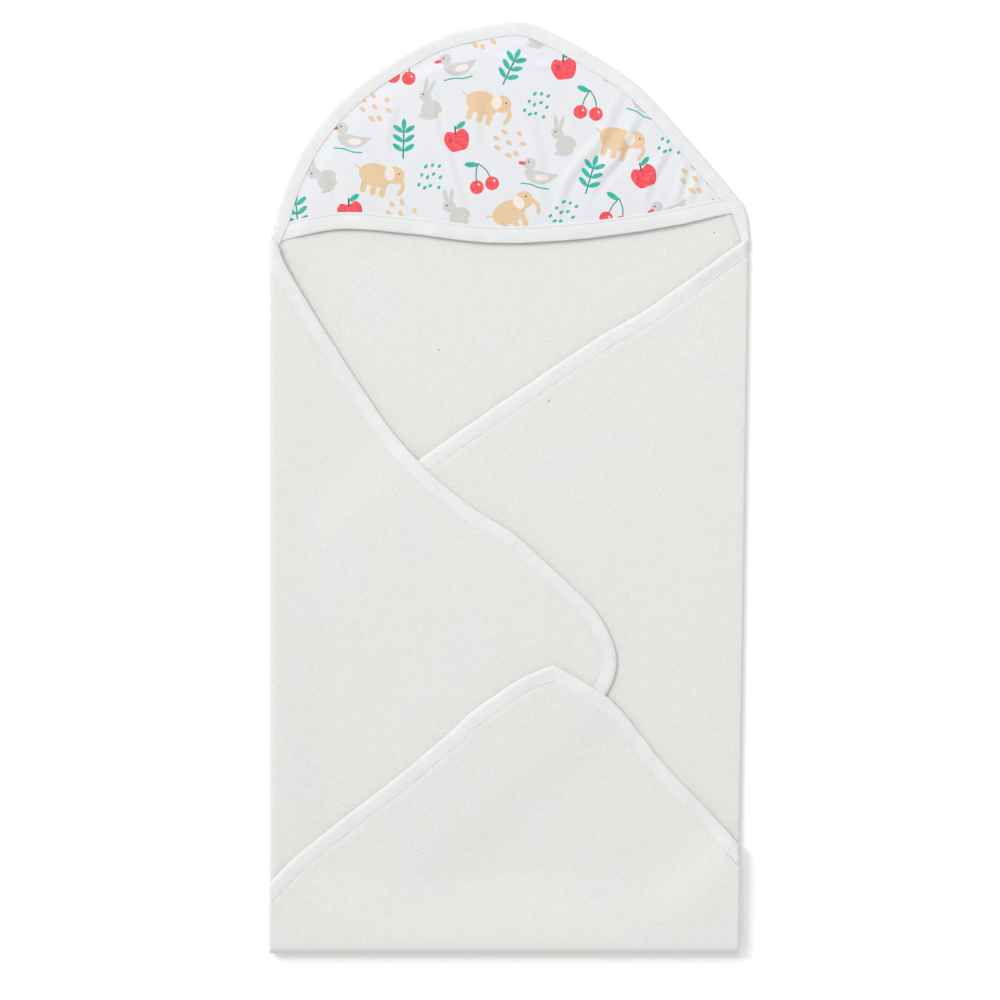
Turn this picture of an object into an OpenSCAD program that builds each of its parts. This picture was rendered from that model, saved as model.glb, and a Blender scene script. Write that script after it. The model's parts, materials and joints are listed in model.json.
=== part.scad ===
// Hooded baby towel, folded flat: the right side, then the left side, then the
// bottom corner are turned in over the middle, and the hood lies on the top corner.
// The towel lies on z = 0, with the hood towards +Y. All sizes are in millimetres.

/* [Folded towel] */
// Width across the two side folds
folded_w = 415; // [410:1:420]
// Length from the bottom fold to the top of the hood
folded_l = 802; // [798:1:806]
// How far the right fold leans in over the whole length
right_lean = 9; // [8:0.5:10]

/* [Cloth] */
// Thickness of the terry
terry_t = 2.4; // [2:0.1:2.4]
// Height from one folded layer to the next
pitch = 2.7; // [2.7:0.1:3]
// Width of the binding that runs round the edge
binding_w = 12; // [11:0.5:13]
// Thickness of the binding cloth
binding_t = 0.45; // [0.35:0.05:0.5]
// Gap left between pieces that move apart
clearance = 0.3; // [0.2:0.05:0.4]

/* [Hood] */
// Height of the pocket under the middle of the hood
pocket_h = 6; // [5:0.5:7]
// Thickness of the printed jersey
jersey_t = 1; // [0.8:0.1:1.2]
// Width of the folded band along the hood's front edge
band_w = 15; // [14:0.5:16]
// Share of the hood's base that its flat top covers
hood_top = 0.7; // [0.65:0.05:0.75]

/* [Stitching] */
// Width of a row of thread
thread_w = 0.8; // [0.6:0.1:1]
// How far a row of thread stands above the binding
thread_h = 0.15; // [0.1:0.05:0.2]
// Distance from a row of thread to the binding's inner edge
thread_in = 2; // [1.5:0.5:2.5]

/* [Hidden] */

TERRY = "ivory";
JERSEY = "white";
PRINT = "mistyrose";
THREAD = "gainsboro";

CURVE_STEPS = 6;
// Larger than the towel, for cutting planes.
far = 2000;
// Gap between pieces that are sewn together, so that they stay separate solids.
sewn_gap = 0.05;
// Gap between the terry and what lies on it.
laid_gap = 0.1;

// Layer numbers, counted from the floor.
RIGHT_LAYER = 2;
LEFT_LAYER = 3;
TIP_LAYER = 4;
BOTTOM_LAYER = 5;

function level(layer) = (layer - 1) * pitch;
// A flap turns about the middle of the turned edge that joins it to the layer below.
function turn_radius(layers) = (level(layers) + terry_t) / 2;

half_w = folded_w / 2;
half_l = folded_l / 2;
left_x = -half_w + turn_radius(LEFT_LAYER);
bottom_y = -half_l + turn_radius(BOTTOM_LAYER);
neck_y = 207;
flap_top_y = neck_y - 1;
// Where the bottom corner's edges cross the left and the right fold.
left_tip_y = -337;
right_tip_y = -306;
right_top_x = half_w - 2 - turn_radius(RIGHT_LAYER);
right_angle = atan(right_lean / (neck_y - bottom_y));
function right_x(y) = right_top_x - (neck_y - y) * tan(right_angle);
right_corner = [right_x(bottom_y), bottom_y];
tip_turn_r = turn_radius(2);
tip_axis_z = level(TIP_LAYER) + tip_turn_r;

// Outer edges of the folded towel, as points that a smooth curve passes through.
crown_edge = [
    [-half_w + 0.5, neck_y], [-197, 251], [-172, 303], [-130, 347], [-73, 383], [-33, 396],
    [0, half_l], [22, 398], [65, 376], [110, 346], [151, 302], [188, 259], [203, 238],
    [half_w - 0.5, neck_y]
];
mouth_edge = [
    [-220, 208], [-200, 212], [-172, 218], [-140, 222], [-88, 218], [-16, 210], [57, 213],
    [131, 223], [195, 234], [220, 236]
];
left_edge = [
    [left_x, flap_top_y], [-193, 189], [-163, 140], [-108, 56], [-69, 12], [-34, -17], [5, -42],
    [40, -74], [74, -108], [91, -145], [83, -178], [55, -208], [-20, -280],
    [-144, bottom_y]
];
right_edge = [
    [right_x(flap_top_y), flap_top_y], [176, 197], [130, 161], [68, 124], [-9, 72], [-81, 22], [-140, -20],
    [-163, -42], [-165, -66], [-150, -96], [-80, -176], [118, bottom_y]
];
bottom_left_edge = [
    [left_x, left_tip_y], [-184, -317], [-140, -282], [-96, -248], [-57, -215], [-33, -193],
    [8, -165], [37, -153]
];
bottom_right_edge = [
    [37, -153], [72, -173], [96, -193], [131, -237], [170, -278], [right_x(right_tip_y), right_tip_y]
];
left_tip_edge = [[left_x, left_tip_y], [-144, bottom_y]];
right_tip_edge = [[118, bottom_y], [right_x(right_tip_y), right_tip_y]];

// The hood's panel rises to a flat top in the middle of this oval.
hood_centre = [0, 200];

// A smooth curve through the points, as a list of points.
function curve(points) = [
    for (i = [0:len(points) - 2])
        let (
            a = points[max(i - 1, 0)],
            b = points[i],
            c = points[i + 1],
            d = points[min(i + 2, len(points) - 1)],
            last = i == len(points) - 2 ? CURVE_STEPS : CURVE_STEPS - 1
        )
        for (s = [0:last])
            let (u = s / CURVE_STEPS)
            0.5 * (2 * b + (c - a) * u + (2 * a - 5 * b + 4 * c - d) * u * u
                + (3 * b - 3 * c + d - a) * u * u * u)
];

function unit(v) = v / norm(v);
function leftward(v) = [-v.y, v.x];
function backwards(points) = [for (i = [len(points) - 1:-1:0]) points[i]];
function nearest(points, q) = min([for (p = points) norm(p - q)]);
// The path moved sideways by d, to its right where d is positive. Points that a sharp
// corner would fold back over the path are left out.
function moved(path, d) = [
    for (i = [0:len(path) - 1])
        let (
            before = unit(path[max(i, 1)] - path[max(i, 1) - 1]),
            after = unit(path[min(i, len(path) - 2) + 1] - path[min(i, len(path) - 2)]),
            side = -(leftward(before) + leftward(after)) / (1 + before * after),
            point = path[i] + d * side
        )
        if (nearest(path, point) > 0.99 * abs(d))
            point
];

crown_path = curve(crown_edge);
mouth_path = curve(mouth_edge);
left_path = curve(left_edge);
right_path = backwards(curve(right_edge));
bottom_left_path = curve(bottom_left_edge);
bottom_right_path = curve(bottom_right_edge);
bottom_path = concat(
    bottom_left_path,
    [for (i = [1:len(bottom_right_path) - 1]) bottom_right_path[i]]
);

// Flat outlines of what may be used of each layer, between the fold lines.
centre_zone = [
    [left_x + clearance, bottom_y + clearance],
    right_corner + [-clearance, clearance],
    [right_x(neck_y) - clearance, neck_y - terry_t / 2 - clearance],
    [left_x + clearance, neck_y - terry_t / 2 - clearance]
];
left_zone = [[left_x, bottom_y], [far, bottom_y], [far, flap_top_y], [left_x, flap_top_y]];
// The right flap's lower edge leans up, so that it opens out in line with the bottom fold.
right_zone = [
    right_corner,
    [right_x(flap_top_y), flap_top_y],
    [-far, flap_top_y],
    right_corner + far * [-cos(2 * right_angle), sin(2 * right_angle)]
];
bottom_zone = [
    [left_x + clearance, bottom_y],
    right_corner + [-clearance, 0],
    [right_x(0) - clearance, 0],
    [left_x + clearance, 0]
];
tip_zone = [[left_x, bottom_y], right_corner, [right_x(0), 0], [left_x, 0]];

// A flat layer of the outline, cut to its zone, between two heights.
module layer(outline, zone, low, high) {
    translate([0, 0, low])
        linear_extrude(high - low)
            intersection() {
                polygon(outline);
                polygon(zone);
            }
}

// Terry that ends in a thin tongue, which the binding wraps. inner closes the outline.
module bound_terry(path, inner, zone, z) {
    skin = binding_t + sewn_gap;
    layer(concat(moved(path, binding_w), inner), zone, z, z + terry_t);
    layer(concat(moved(path, skin), inner), zone, z + skin, z + terry_t - skin);
}

// Binding folded over the edge: a strip with a groove along its inner side.
module edge_binding(path, zone, z) {
    groove_end = binding_w + 1;
    difference() {
        layer(concat(path, backwards(moved(path, binding_w - sewn_gap))), zone, z, z + terry_t);
        layer(
            concat(moved(path, binding_t), backwards(moved(path, groove_end))),
            zone, z + binding_t, z + terry_t - binding_t
        );
    }
}

// A row of thread near the binding's inner edge, standing a little above it.
module stitch_row(path, zone, top) {
    at = binding_w - thread_in;
    layer(
        concat(moved(path, at - thread_w / 2), backwards(moved(path, at + thread_w / 2))),
        zone, top, top + thread_h
    );
}

// The half-round turned edge between two layers: its axis runs along +Y, it bulges to -X.
module turned_edge(radius, length) {
    rotate([-90, 0, 0])
        linear_extrude(length)
            intersection() {
                difference() {
                    circle(r = radius, $fn = 48);
                    circle(r = radius - terry_t, $fn = 48);
                }
                translate([-far, -far / 2])
                    square([far, far]);
            }
}

module towel_centre() {
    color(TERRY)
        linear_extrude(terry_t)
            polygon(centre_zone);
}

crown_zone = [[-far, neck_y], [far, neck_y], [far, far], [-far, far]];

module crown_terry() {
    nose_half = half_w - binding_w - 1.5;
    color(TERRY) {
        bound_terry(crown_path, [], crown_zone, 0);
        // The neck line is rounded about the axis that the crown tilts on.
        translate([-nose_half, neck_y, terry_t / 2])
            rotate([0, 90, 0])
                cylinder(r = terry_t / 2, h = 2 * nose_half, $fn = 32);
    }
}

module crown_binding() {
    color(JERSEY)
        edge_binding(crown_path, crown_zone, 0);
}

module crown_stitching() {
    color(THREAD)
        stitch_row(crown_path, crown_zone, terry_t);
}

// The oval that the hood's panel rises from, inside the crown's binding.
hood_rim = moved(crown_path, binding_w + clearance);
hood_base = concat(hood_rim, [for (p = backwards(hood_rim)) [p.x, 2 * neck_y - p.y]]);

// A solid mound over the oval, with its flat top at the given height.
module mound(height, grow) {
    translate([hood_centre.x, hood_centre.y, terry_t + laid_gap])
        linear_extrude(height, scale = hood_top)
            offset(delta = grow)
                translate(-hood_centre)
                    polygon(hood_base);
}

// The hood's cloth: a low mound with the pocket taken out from below.
module hood_cloth(thick) {
    difference() {
        mound(pocket_h + thick, 0);
        translate([0, 0, -0.01])
            mound(pocket_h, -thick * 2);
    }
}

module behind_mouth(path, z_far = 40) {
    linear_extrude(z_far)
        polygon(concat(path, [[far, far], [-far, far]]));
}

band_back_path = moved(mouth_path, -band_w);

module hood_panel() {
    color(PRINT)
        intersection() {
            hood_cloth(jersey_t);
            behind_mouth(moved(mouth_path, -band_w - laid_gap));
        }
}

module hood_front_band() {
    color(JERSEY)
        intersection() {
            hood_cloth(jersey_t * 1.5);
            difference() {
                behind_mouth(mouth_path);
                translate([0, 0, -1])
                    behind_mouth(band_back_path, 50);
            }
        }
}

module hood_band_stitching() {
    top = terry_t + laid_gap + pocket_h + jersey_t * 1.5;
    row = moved(mouth_path, -band_w + thread_in);
    flat_half = 100;
    color(THREAD)
        layer(
            concat(row, backwards(moved(row, thread_w))),
            [[-flat_half, 0], [flat_half, 0], [flat_half, far], [-flat_half, far]], top, top + thread_h
        );
}

module left_flap() {
    color(TERRY)
        bound_terry(left_path, [[left_x, bottom_y]], left_zone, level(LEFT_LAYER));
}

module left_fold_turn() {
    color(TERRY)
        translate([left_x, bottom_y, turn_radius(LEFT_LAYER)])
            turned_edge(turn_radius(LEFT_LAYER), flap_top_y - bottom_y);
}

module left_binding() {
    color(JERSEY)
        edge_binding(left_path, left_zone, level(LEFT_LAYER));
}

module left_stitching() {
    color(THREAD)
        stitch_row(left_path, left_zone, level(LEFT_LAYER) + terry_t);
}

module right_flap() {
    color(TERRY)
        bound_terry(
            right_path, [[right_x(flap_top_y), flap_top_y], right_corner],
            right_zone, level(RIGHT_LAYER)
        );
}

module right_fold_turn() {
    color(TERRY)
        translate([right_corner.x, right_corner.y, turn_radius(RIGHT_LAYER)])
            rotate([0, 0, -right_angle])
                mirror([1, 0, 0])
                    turned_edge(turn_radius(RIGHT_LAYER), (flap_top_y - bottom_y) / cos(right_angle));
}

module right_binding() {
    color(JERSEY)
        edge_binding(right_path, right_zone, level(RIGHT_LAYER));
}

module right_stitching() {
    color(THREAD)
        stitch_row(right_path, right_zone, level(RIGHT_LAYER) + terry_t);
}

module bottom_flap() {
    color(TERRY)
        bound_terry(bottom_path, [right_corner, [left_x, bottom_y]], bottom_zone, level(BOTTOM_LAYER));
}

module bottom_fold_turn() {
    length = right_corner.x - left_x - 2 * clearance;
    color(TERRY)
        translate([left_x + clearance, bottom_y, turn_radius(BOTTOM_LAYER)])
            rotate([0, 0, 90])
                mirror([0, 1, 0])
                    turned_edge(turn_radius(BOTTOM_LAYER), length);
}

// The bottom corner's binding is cut where its two ends meet, a little left of the corner.
overlap_x = 27;
overlap_half = 7;

module bottom_binding_part(low_x, high_x) {
    color(JERSEY)
        intersection() {
            edge_binding(bottom_path, bottom_zone, level(BOTTOM_LAYER));
            translate([low_x, -far / 2, 0])
                cube([high_x - low_x, far, 100]);
        }
}

module bottom_binding_left() {
    bottom_binding_part(-half_w, overlap_x - overlap_half);
}

module bottom_binding_right() {
    bottom_binding_part(overlap_x + overlap_half, half_w);
}

module bottom_binding_overlap() {
    bottom_binding_part(overlap_x - overlap_half + laid_gap, overlap_x + overlap_half - laid_gap);
}

module bottom_stitching() {
    color(THREAD)
        stitch_row(bottom_path, bottom_zone, level(BOTTOM_LAYER) + terry_t);
}

module left_tip() {
    color(TERRY)
        bound_terry(left_tip_edge, [[left_x, bottom_y]], tip_zone, level(TIP_LAYER));
}

module left_tip_turn() {
    color(TERRY)
        translate([left_x, bottom_y, tip_axis_z])
            turned_edge(tip_turn_r, left_tip_y - bottom_y);
}

module left_tip_binding() {
    color(JERSEY)
        edge_binding(left_tip_edge, tip_zone, level(TIP_LAYER));
}

module right_tip() {
    color(TERRY)
        bound_terry(right_tip_edge, [right_corner], tip_zone, level(TIP_LAYER));
}

module right_tip_turn() {
    color(TERRY)
        translate([right_corner.x, right_corner.y, tip_axis_z])
            rotate([0, 0, -right_angle])
                mirror([1, 0, 0])
                    turned_edge(tip_turn_r, right_tip_y - bottom_y);
}

module right_tip_binding() {
    color(JERSEY)
        edge_binding(right_tip_edge, tip_zone, level(TIP_LAYER));
}

towel_centre();
crown_terry();
crown_binding();
crown_stitching();
hood_panel();
hood_front_band();
hood_band_stitching();
left_flap();
left_fold_turn();
left_binding();
left_stitching();
right_flap();
right_fold_turn();
right_binding();
right_stitching();
bottom_flap();
bottom_fold_turn();
bottom_binding_left();
bottom_binding_right();
bottom_binding_overlap();
bottom_stitching();
left_tip();
left_tip_turn();
left_tip_binding();
right_tip();
right_tip_turn();
right_tip_binding();
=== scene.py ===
"""Looks of a hooded baby towel that lies folded flat, with a printed hood and a bound edge.

Each stretch of cloth between two fold lines is a Leaf. A leaf knows how a point of its flat cut lies in
the folded towel, so the terry, the binding and the stitches of a leaf are all made flat and then placed.
"""
import json
import logging
import math
from dataclasses import dataclass, field
from enum import Enum
from typing import Callable, Iterable, Sequence

import bmesh
import bpy
import numpy as np
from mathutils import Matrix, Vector
from mathutils.geometry import delaunay_2d_cdt


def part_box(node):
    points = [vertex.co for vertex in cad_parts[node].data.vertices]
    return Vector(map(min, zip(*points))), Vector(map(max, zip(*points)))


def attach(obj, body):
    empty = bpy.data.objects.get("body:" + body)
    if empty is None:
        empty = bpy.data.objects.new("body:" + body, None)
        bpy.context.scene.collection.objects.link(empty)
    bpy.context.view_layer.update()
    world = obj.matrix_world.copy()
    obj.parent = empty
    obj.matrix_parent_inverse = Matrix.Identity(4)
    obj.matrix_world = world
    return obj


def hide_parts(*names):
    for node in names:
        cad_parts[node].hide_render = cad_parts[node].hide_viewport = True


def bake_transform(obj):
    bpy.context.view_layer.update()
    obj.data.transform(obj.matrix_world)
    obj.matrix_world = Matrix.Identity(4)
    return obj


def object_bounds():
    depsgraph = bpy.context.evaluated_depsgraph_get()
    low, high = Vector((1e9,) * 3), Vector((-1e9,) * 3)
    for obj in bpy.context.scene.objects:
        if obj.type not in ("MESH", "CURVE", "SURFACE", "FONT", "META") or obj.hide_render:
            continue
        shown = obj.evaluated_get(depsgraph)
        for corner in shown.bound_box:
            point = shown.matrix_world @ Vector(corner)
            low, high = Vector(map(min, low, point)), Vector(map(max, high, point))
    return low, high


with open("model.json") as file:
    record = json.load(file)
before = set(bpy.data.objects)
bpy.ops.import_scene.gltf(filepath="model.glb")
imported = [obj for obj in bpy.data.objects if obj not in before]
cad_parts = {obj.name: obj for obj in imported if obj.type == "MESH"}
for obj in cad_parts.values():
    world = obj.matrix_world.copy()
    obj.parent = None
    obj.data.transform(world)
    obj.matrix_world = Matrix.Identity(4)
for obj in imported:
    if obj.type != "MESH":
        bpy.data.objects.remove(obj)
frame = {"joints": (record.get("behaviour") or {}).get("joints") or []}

CAD_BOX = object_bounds()
MM = 0.001
LOG = logging.getLogger("towel")

Array = np.ndarray
Point = tuple[float, float]


# ---------------------------------------------------------------- plane geometry


def mm(*points: Point) -> Array:
    """Points given in millimetres, as an array in metres."""
    return np.array(points, float) * MM


def smooth_path(points: Array, step: float) -> Array:
    """A smooth open curve through the points.

    Args:
        points: The points to pass through, in metres.
        step: About how far apart the samples are.

    Returns:
        The samples, from the first point to the last.
    """
    ends = np.vstack([points[:1], points, points[-1:]])
    out = []
    for a, b, c, d in zip(ends[:-3], ends[1:-2], ends[2:-1], ends[3:]):
        count = max(2, int(math.ceil(np.linalg.norm(c - b) / step)))
        u = (np.arange(count) / count)[:, None]
        out.append(
            0.5
            * (
                2 * b
                + (c - a) * u
                + (2 * a - 5 * b + 4 * c - d) * u**2
                + (3 * b - 3 * c + d - a) * u**3
            )
        )
    return np.vstack([*out, points[-1:]])


def closed_path(points: Array, steps: int = 6) -> Array:
    """A smooth closed curve through the points, with so many samples to each span."""
    out = []
    count = len(points)
    for i in range(count):
        a, b, c, d = (points[(i + k) % count] for k in (-1, 0, 1, 2))
        u = (np.arange(steps) / steps)[:, None]
        out.append(
            0.5
            * (
                2 * b
                + (c - a) * u
                + (2 * a - 5 * b + 4 * c - d) * u**2
                + (3 * b - 3 * c + d - a) * u**3
            )
        )
    return np.vstack(out)


def resample(path: Array, step: float) -> Array:
    """The path again, with its points spaced evenly about step apart."""
    run = np.concatenate([[0], np.cumsum(np.linalg.norm(np.diff(path, axis=0), axis=1))])
    count = max(2, int(round(run[-1] / step)) + 1)
    at = np.linspace(0, run[-1], count)
    return np.stack([np.interp(at, run, path[:, k]) for k in range(path.shape[1])], axis=1)


def right_normals(path: Array) -> Array:
    """The unit direction to the right of the path at each of its points."""
    ahead = np.gradient(path, axis=0)
    ahead /= np.linalg.norm(ahead, axis=1, keepdims=True) + 1e-12
    return np.stack([ahead[:, 1], -ahead[:, 0]], axis=1)


def inside(polygon: Array, points: Array) -> Array:
    """Which points are inside the polygon, by the even-odd rule."""
    x, y = points[:, 0], points[:, 1]
    found = np.zeros(len(points), bool)
    for (ax, ay), (bx, by) in zip(polygon, np.roll(polygon, -1, axis=0)):
        if ay == by:
            continue
        crosses = (ay > y) != (by > y)
        found ^= crosses & (x < (bx - ax) * (y - ay) / (by - ay) + ax)
    return found


def distance_to(path: Array, points: Array, chunk: int = 4000) -> Array:
    """The distance from each point to an open path, in metres."""
    a, b = path[:-1], path[1:]
    step = b - a
    size = (step**2).sum(axis=1) + 1e-18
    out = np.empty(len(points))
    for at in range(0, len(points), chunk):
        p = points[at : at + chunk, None, :]
        t = np.clip(((p - a) * step).sum(axis=2) / size, 0, 1)
        gap = p - (a + t[..., None] * step)
        out[at : at + chunk] = np.sqrt((gap**2).sum(axis=2).min(axis=1))
    return out


def ease(low: float, high: float, value: Array) -> Array:
    """0 below low and 1 above high, with a smooth climb between."""
    t = np.clip((np.asarray(value, float) - low) / (high - low), 0, 1)
    return t * t * (3 - 2 * t)


def ripple(points: Array, wave: float, seed: int, count: int = 5) -> Array:
    """A gentle uneven wave over the plane, from -1 to 1.

    Args:
        points: Places on the plane, in metres.
        wave: The usual length of a wave.
        seed: Fixes the directions and phases.
        count: How many waves are added.

    Returns:
        The height at each point.
    """
    draw = np.random.default_rng(seed)
    total = np.zeros(len(points))
    for _ in range(count):
        turn, phase = draw.uniform(0, 2 * math.pi, 2)
        size = wave * draw.uniform(0.7, 1.6)
        run = points[:, 0] * math.cos(turn) + points[:, 1] * math.sin(turn)
        total += np.sin(run * 2 * math.pi / size + phase)
    return total / count


# ---------------------------------------------------------------- the folded towel


@dataclass(frozen=True)
class Cloth:
    """Sizes of the cloth and of its bound edge, in metres."""

    thick: float
    pitch: float
    bind: float = 12.5 * MM
    bind_cloth: float = 0.42 * MM
    thread_in: float = 2.0 * MM
    spacing: float = 4.2 * MM

    def level(self, layer: int) -> float:
        """The height of the underside of a layer, counted from 1 at the floor."""
        return (layer - 1) * self.pitch

    def middle(self, layer: int) -> float:
        """The height of the middle of a layer."""
        return self.level(layer) + self.thick / 2


class Layer(Enum):
    """The layers of the folded towel, from the floor up."""

    CENTRE = 1
    RIGHT = 2
    LEFT = 3
    TIP = 4
    BOTTOM = 5


@dataclass(frozen=True)
class Fold:
    """A fold line, with the round turned edge that joins a flap to the layer it folds from."""

    corner: Array
    along: Array
    inward: Array
    axis_z: float
    radius: float
    side: float = 1.0

    def flat(self, xy: Array) -> Array:
        """Where places on the folded towel are on the flat cut: across the fold, then along it."""
        gap = xy - self.corner
        return np.stack([gap @ self.inward, gap @ self.along], axis=1)

    def turned(self) -> float:
        """The length of cloth that the turned edge takes up."""
        return math.pi * self.radius


class Leaf:
    """One stretch of the towel between fold lines, and how it lies in the folded towel."""

    def __init__(self, name: str, fold: Fold | None, lie: Callable[[Array], Array]) -> None:
        """Keeps the fold that the leaf turns on and the height of its middle over the plane."""
        self.name = name
        self.fold = fold
        self.lie = lie

    def flat(self, xy: Array) -> Array:
        """Places on the folded towel, as places on the leaf's flat cut."""
        return xy if self.fold is None else self.fold.flat(xy)

    def place(self, uv: Array, lift: Array | float) -> Array:
        """Puts points of the flat cut where they are in the folded towel.

        Args:
            uv: Places on the flat cut.
            lift: How far each point is off the middle of the cloth.

        Returns:
            The points in the towel's frame.
        """
        lift = np.broadcast_to(np.asarray(lift, float), (len(uv),))
        if self.fold is None:
            xy, bent, phi, side = uv, np.zeros(len(uv), bool), np.zeros(len(uv)), 1.0
        else:
            f, side = self.fold, self.fold.side
            phi = np.clip(-uv[:, 0] / f.radius, 0, math.pi)
            bent = uv[:, 0] < 0
            out = np.maximum(uv[:, 0], 0) - f.radius * np.sin(phi)
            beyond = np.minimum(uv[:, 0] + f.turned(), 0)
            xy = f.corner + np.outer(out - beyond, f.inward) + np.outer(uv[:, 1], f.along)
        probe = 1.5 * MM
        z = self.lie(xy)
        slope = [
            (self.lie(xy + step) - self.lie(xy - step)) / (2 * probe)
            for step in (np.array([probe, 0]), np.array([0, probe]))
        ]
        normal = np.stack([-slope[0], -slope[1], np.ones(len(uv))], axis=1)
        normal /= np.linalg.norm(normal, axis=1, keepdims=True)
        normal *= side
        if self.fold is not None:
            f = self.fold
            z = np.where(bent, f.axis_z + side * f.radius * np.cos(phi), z)
            round_normal = np.stack(
                [
                    -f.inward[0] * np.sin(phi),
                    -f.inward[1] * np.sin(phi),
                    side * np.cos(phi),
                ],
                axis=1,
            )
            normal = np.where(bent[:, None], round_normal, normal)
        return np.column_stack([xy, z]) + normal * lift[:, None]

    def turn(self, points: Array) -> Array:
        """How far each point turns with the flap: 0 on the layer below, 1 on the flap."""
        f = self.fold
        out = (points[:, :2] - f.corner) @ f.inward
        rise = f.side * (points[:, 2] - f.axis_z)
        share = 1 - np.arctan2(np.maximum(-out, 0), rise) / math.pi
        return np.where(out < 0.05 * MM, np.clip(share, 0, 1), 1.0)


class HeightMap:
    """Heights over the folded towel, on a grid."""

    def __init__(self, low: Array, high: Array, step: float = 4 * MM) -> None:
        """Makes an empty grid over the box."""
        self.low = low
        self.step = step
        self.shape = tuple(np.ceil((high - low) / step).astype(int) + 2)
        i, j = np.meshgrid(*(np.arange(n) for n in self.shape), indexing="ij")
        self.places = np.stack([i.ravel(), j.ravel()], axis=1) * step + low
        self.values = np.zeros(self.shape)

    def settle(self, grow: int, rounds: int) -> None:
        """Lets stiff cloth lie over the steps: each is widened, then smoothed."""
        for _ in range(grow):
            padded = np.pad(self.values, 1, mode="edge")
            self.values = np.max(
                [padded[i : i + self.shape[0], j : j + self.shape[1]] for i in range(3) for j in range(3)],
                axis=0,
            )
        for _ in range(rounds):
            padded = np.pad(self.values, 1, mode="edge")
            self.values = np.mean(
                [padded[i : i + self.shape[0], j : j + self.shape[1]] for i in range(3) for j in range(3)],
                axis=0,
            )

    def at(self, points: Array) -> Array:
        """The height at each point, between the grid's own."""
        at = (points - self.low) / self.step
        at = np.clip(at, 0, np.array(self.shape) - 1.001)
        i, j = at.astype(int).T
        fu, fv = (at - at.astype(int)).T
        v = self.values
        return (
            v[i, j] * (1 - fu) * (1 - fv)
            + v[i + 1, j] * fu * (1 - fv)
            + v[i, j + 1] * (1 - fu) * fv
            + v[i + 1, j + 1] * fu * fv
        )


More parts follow.
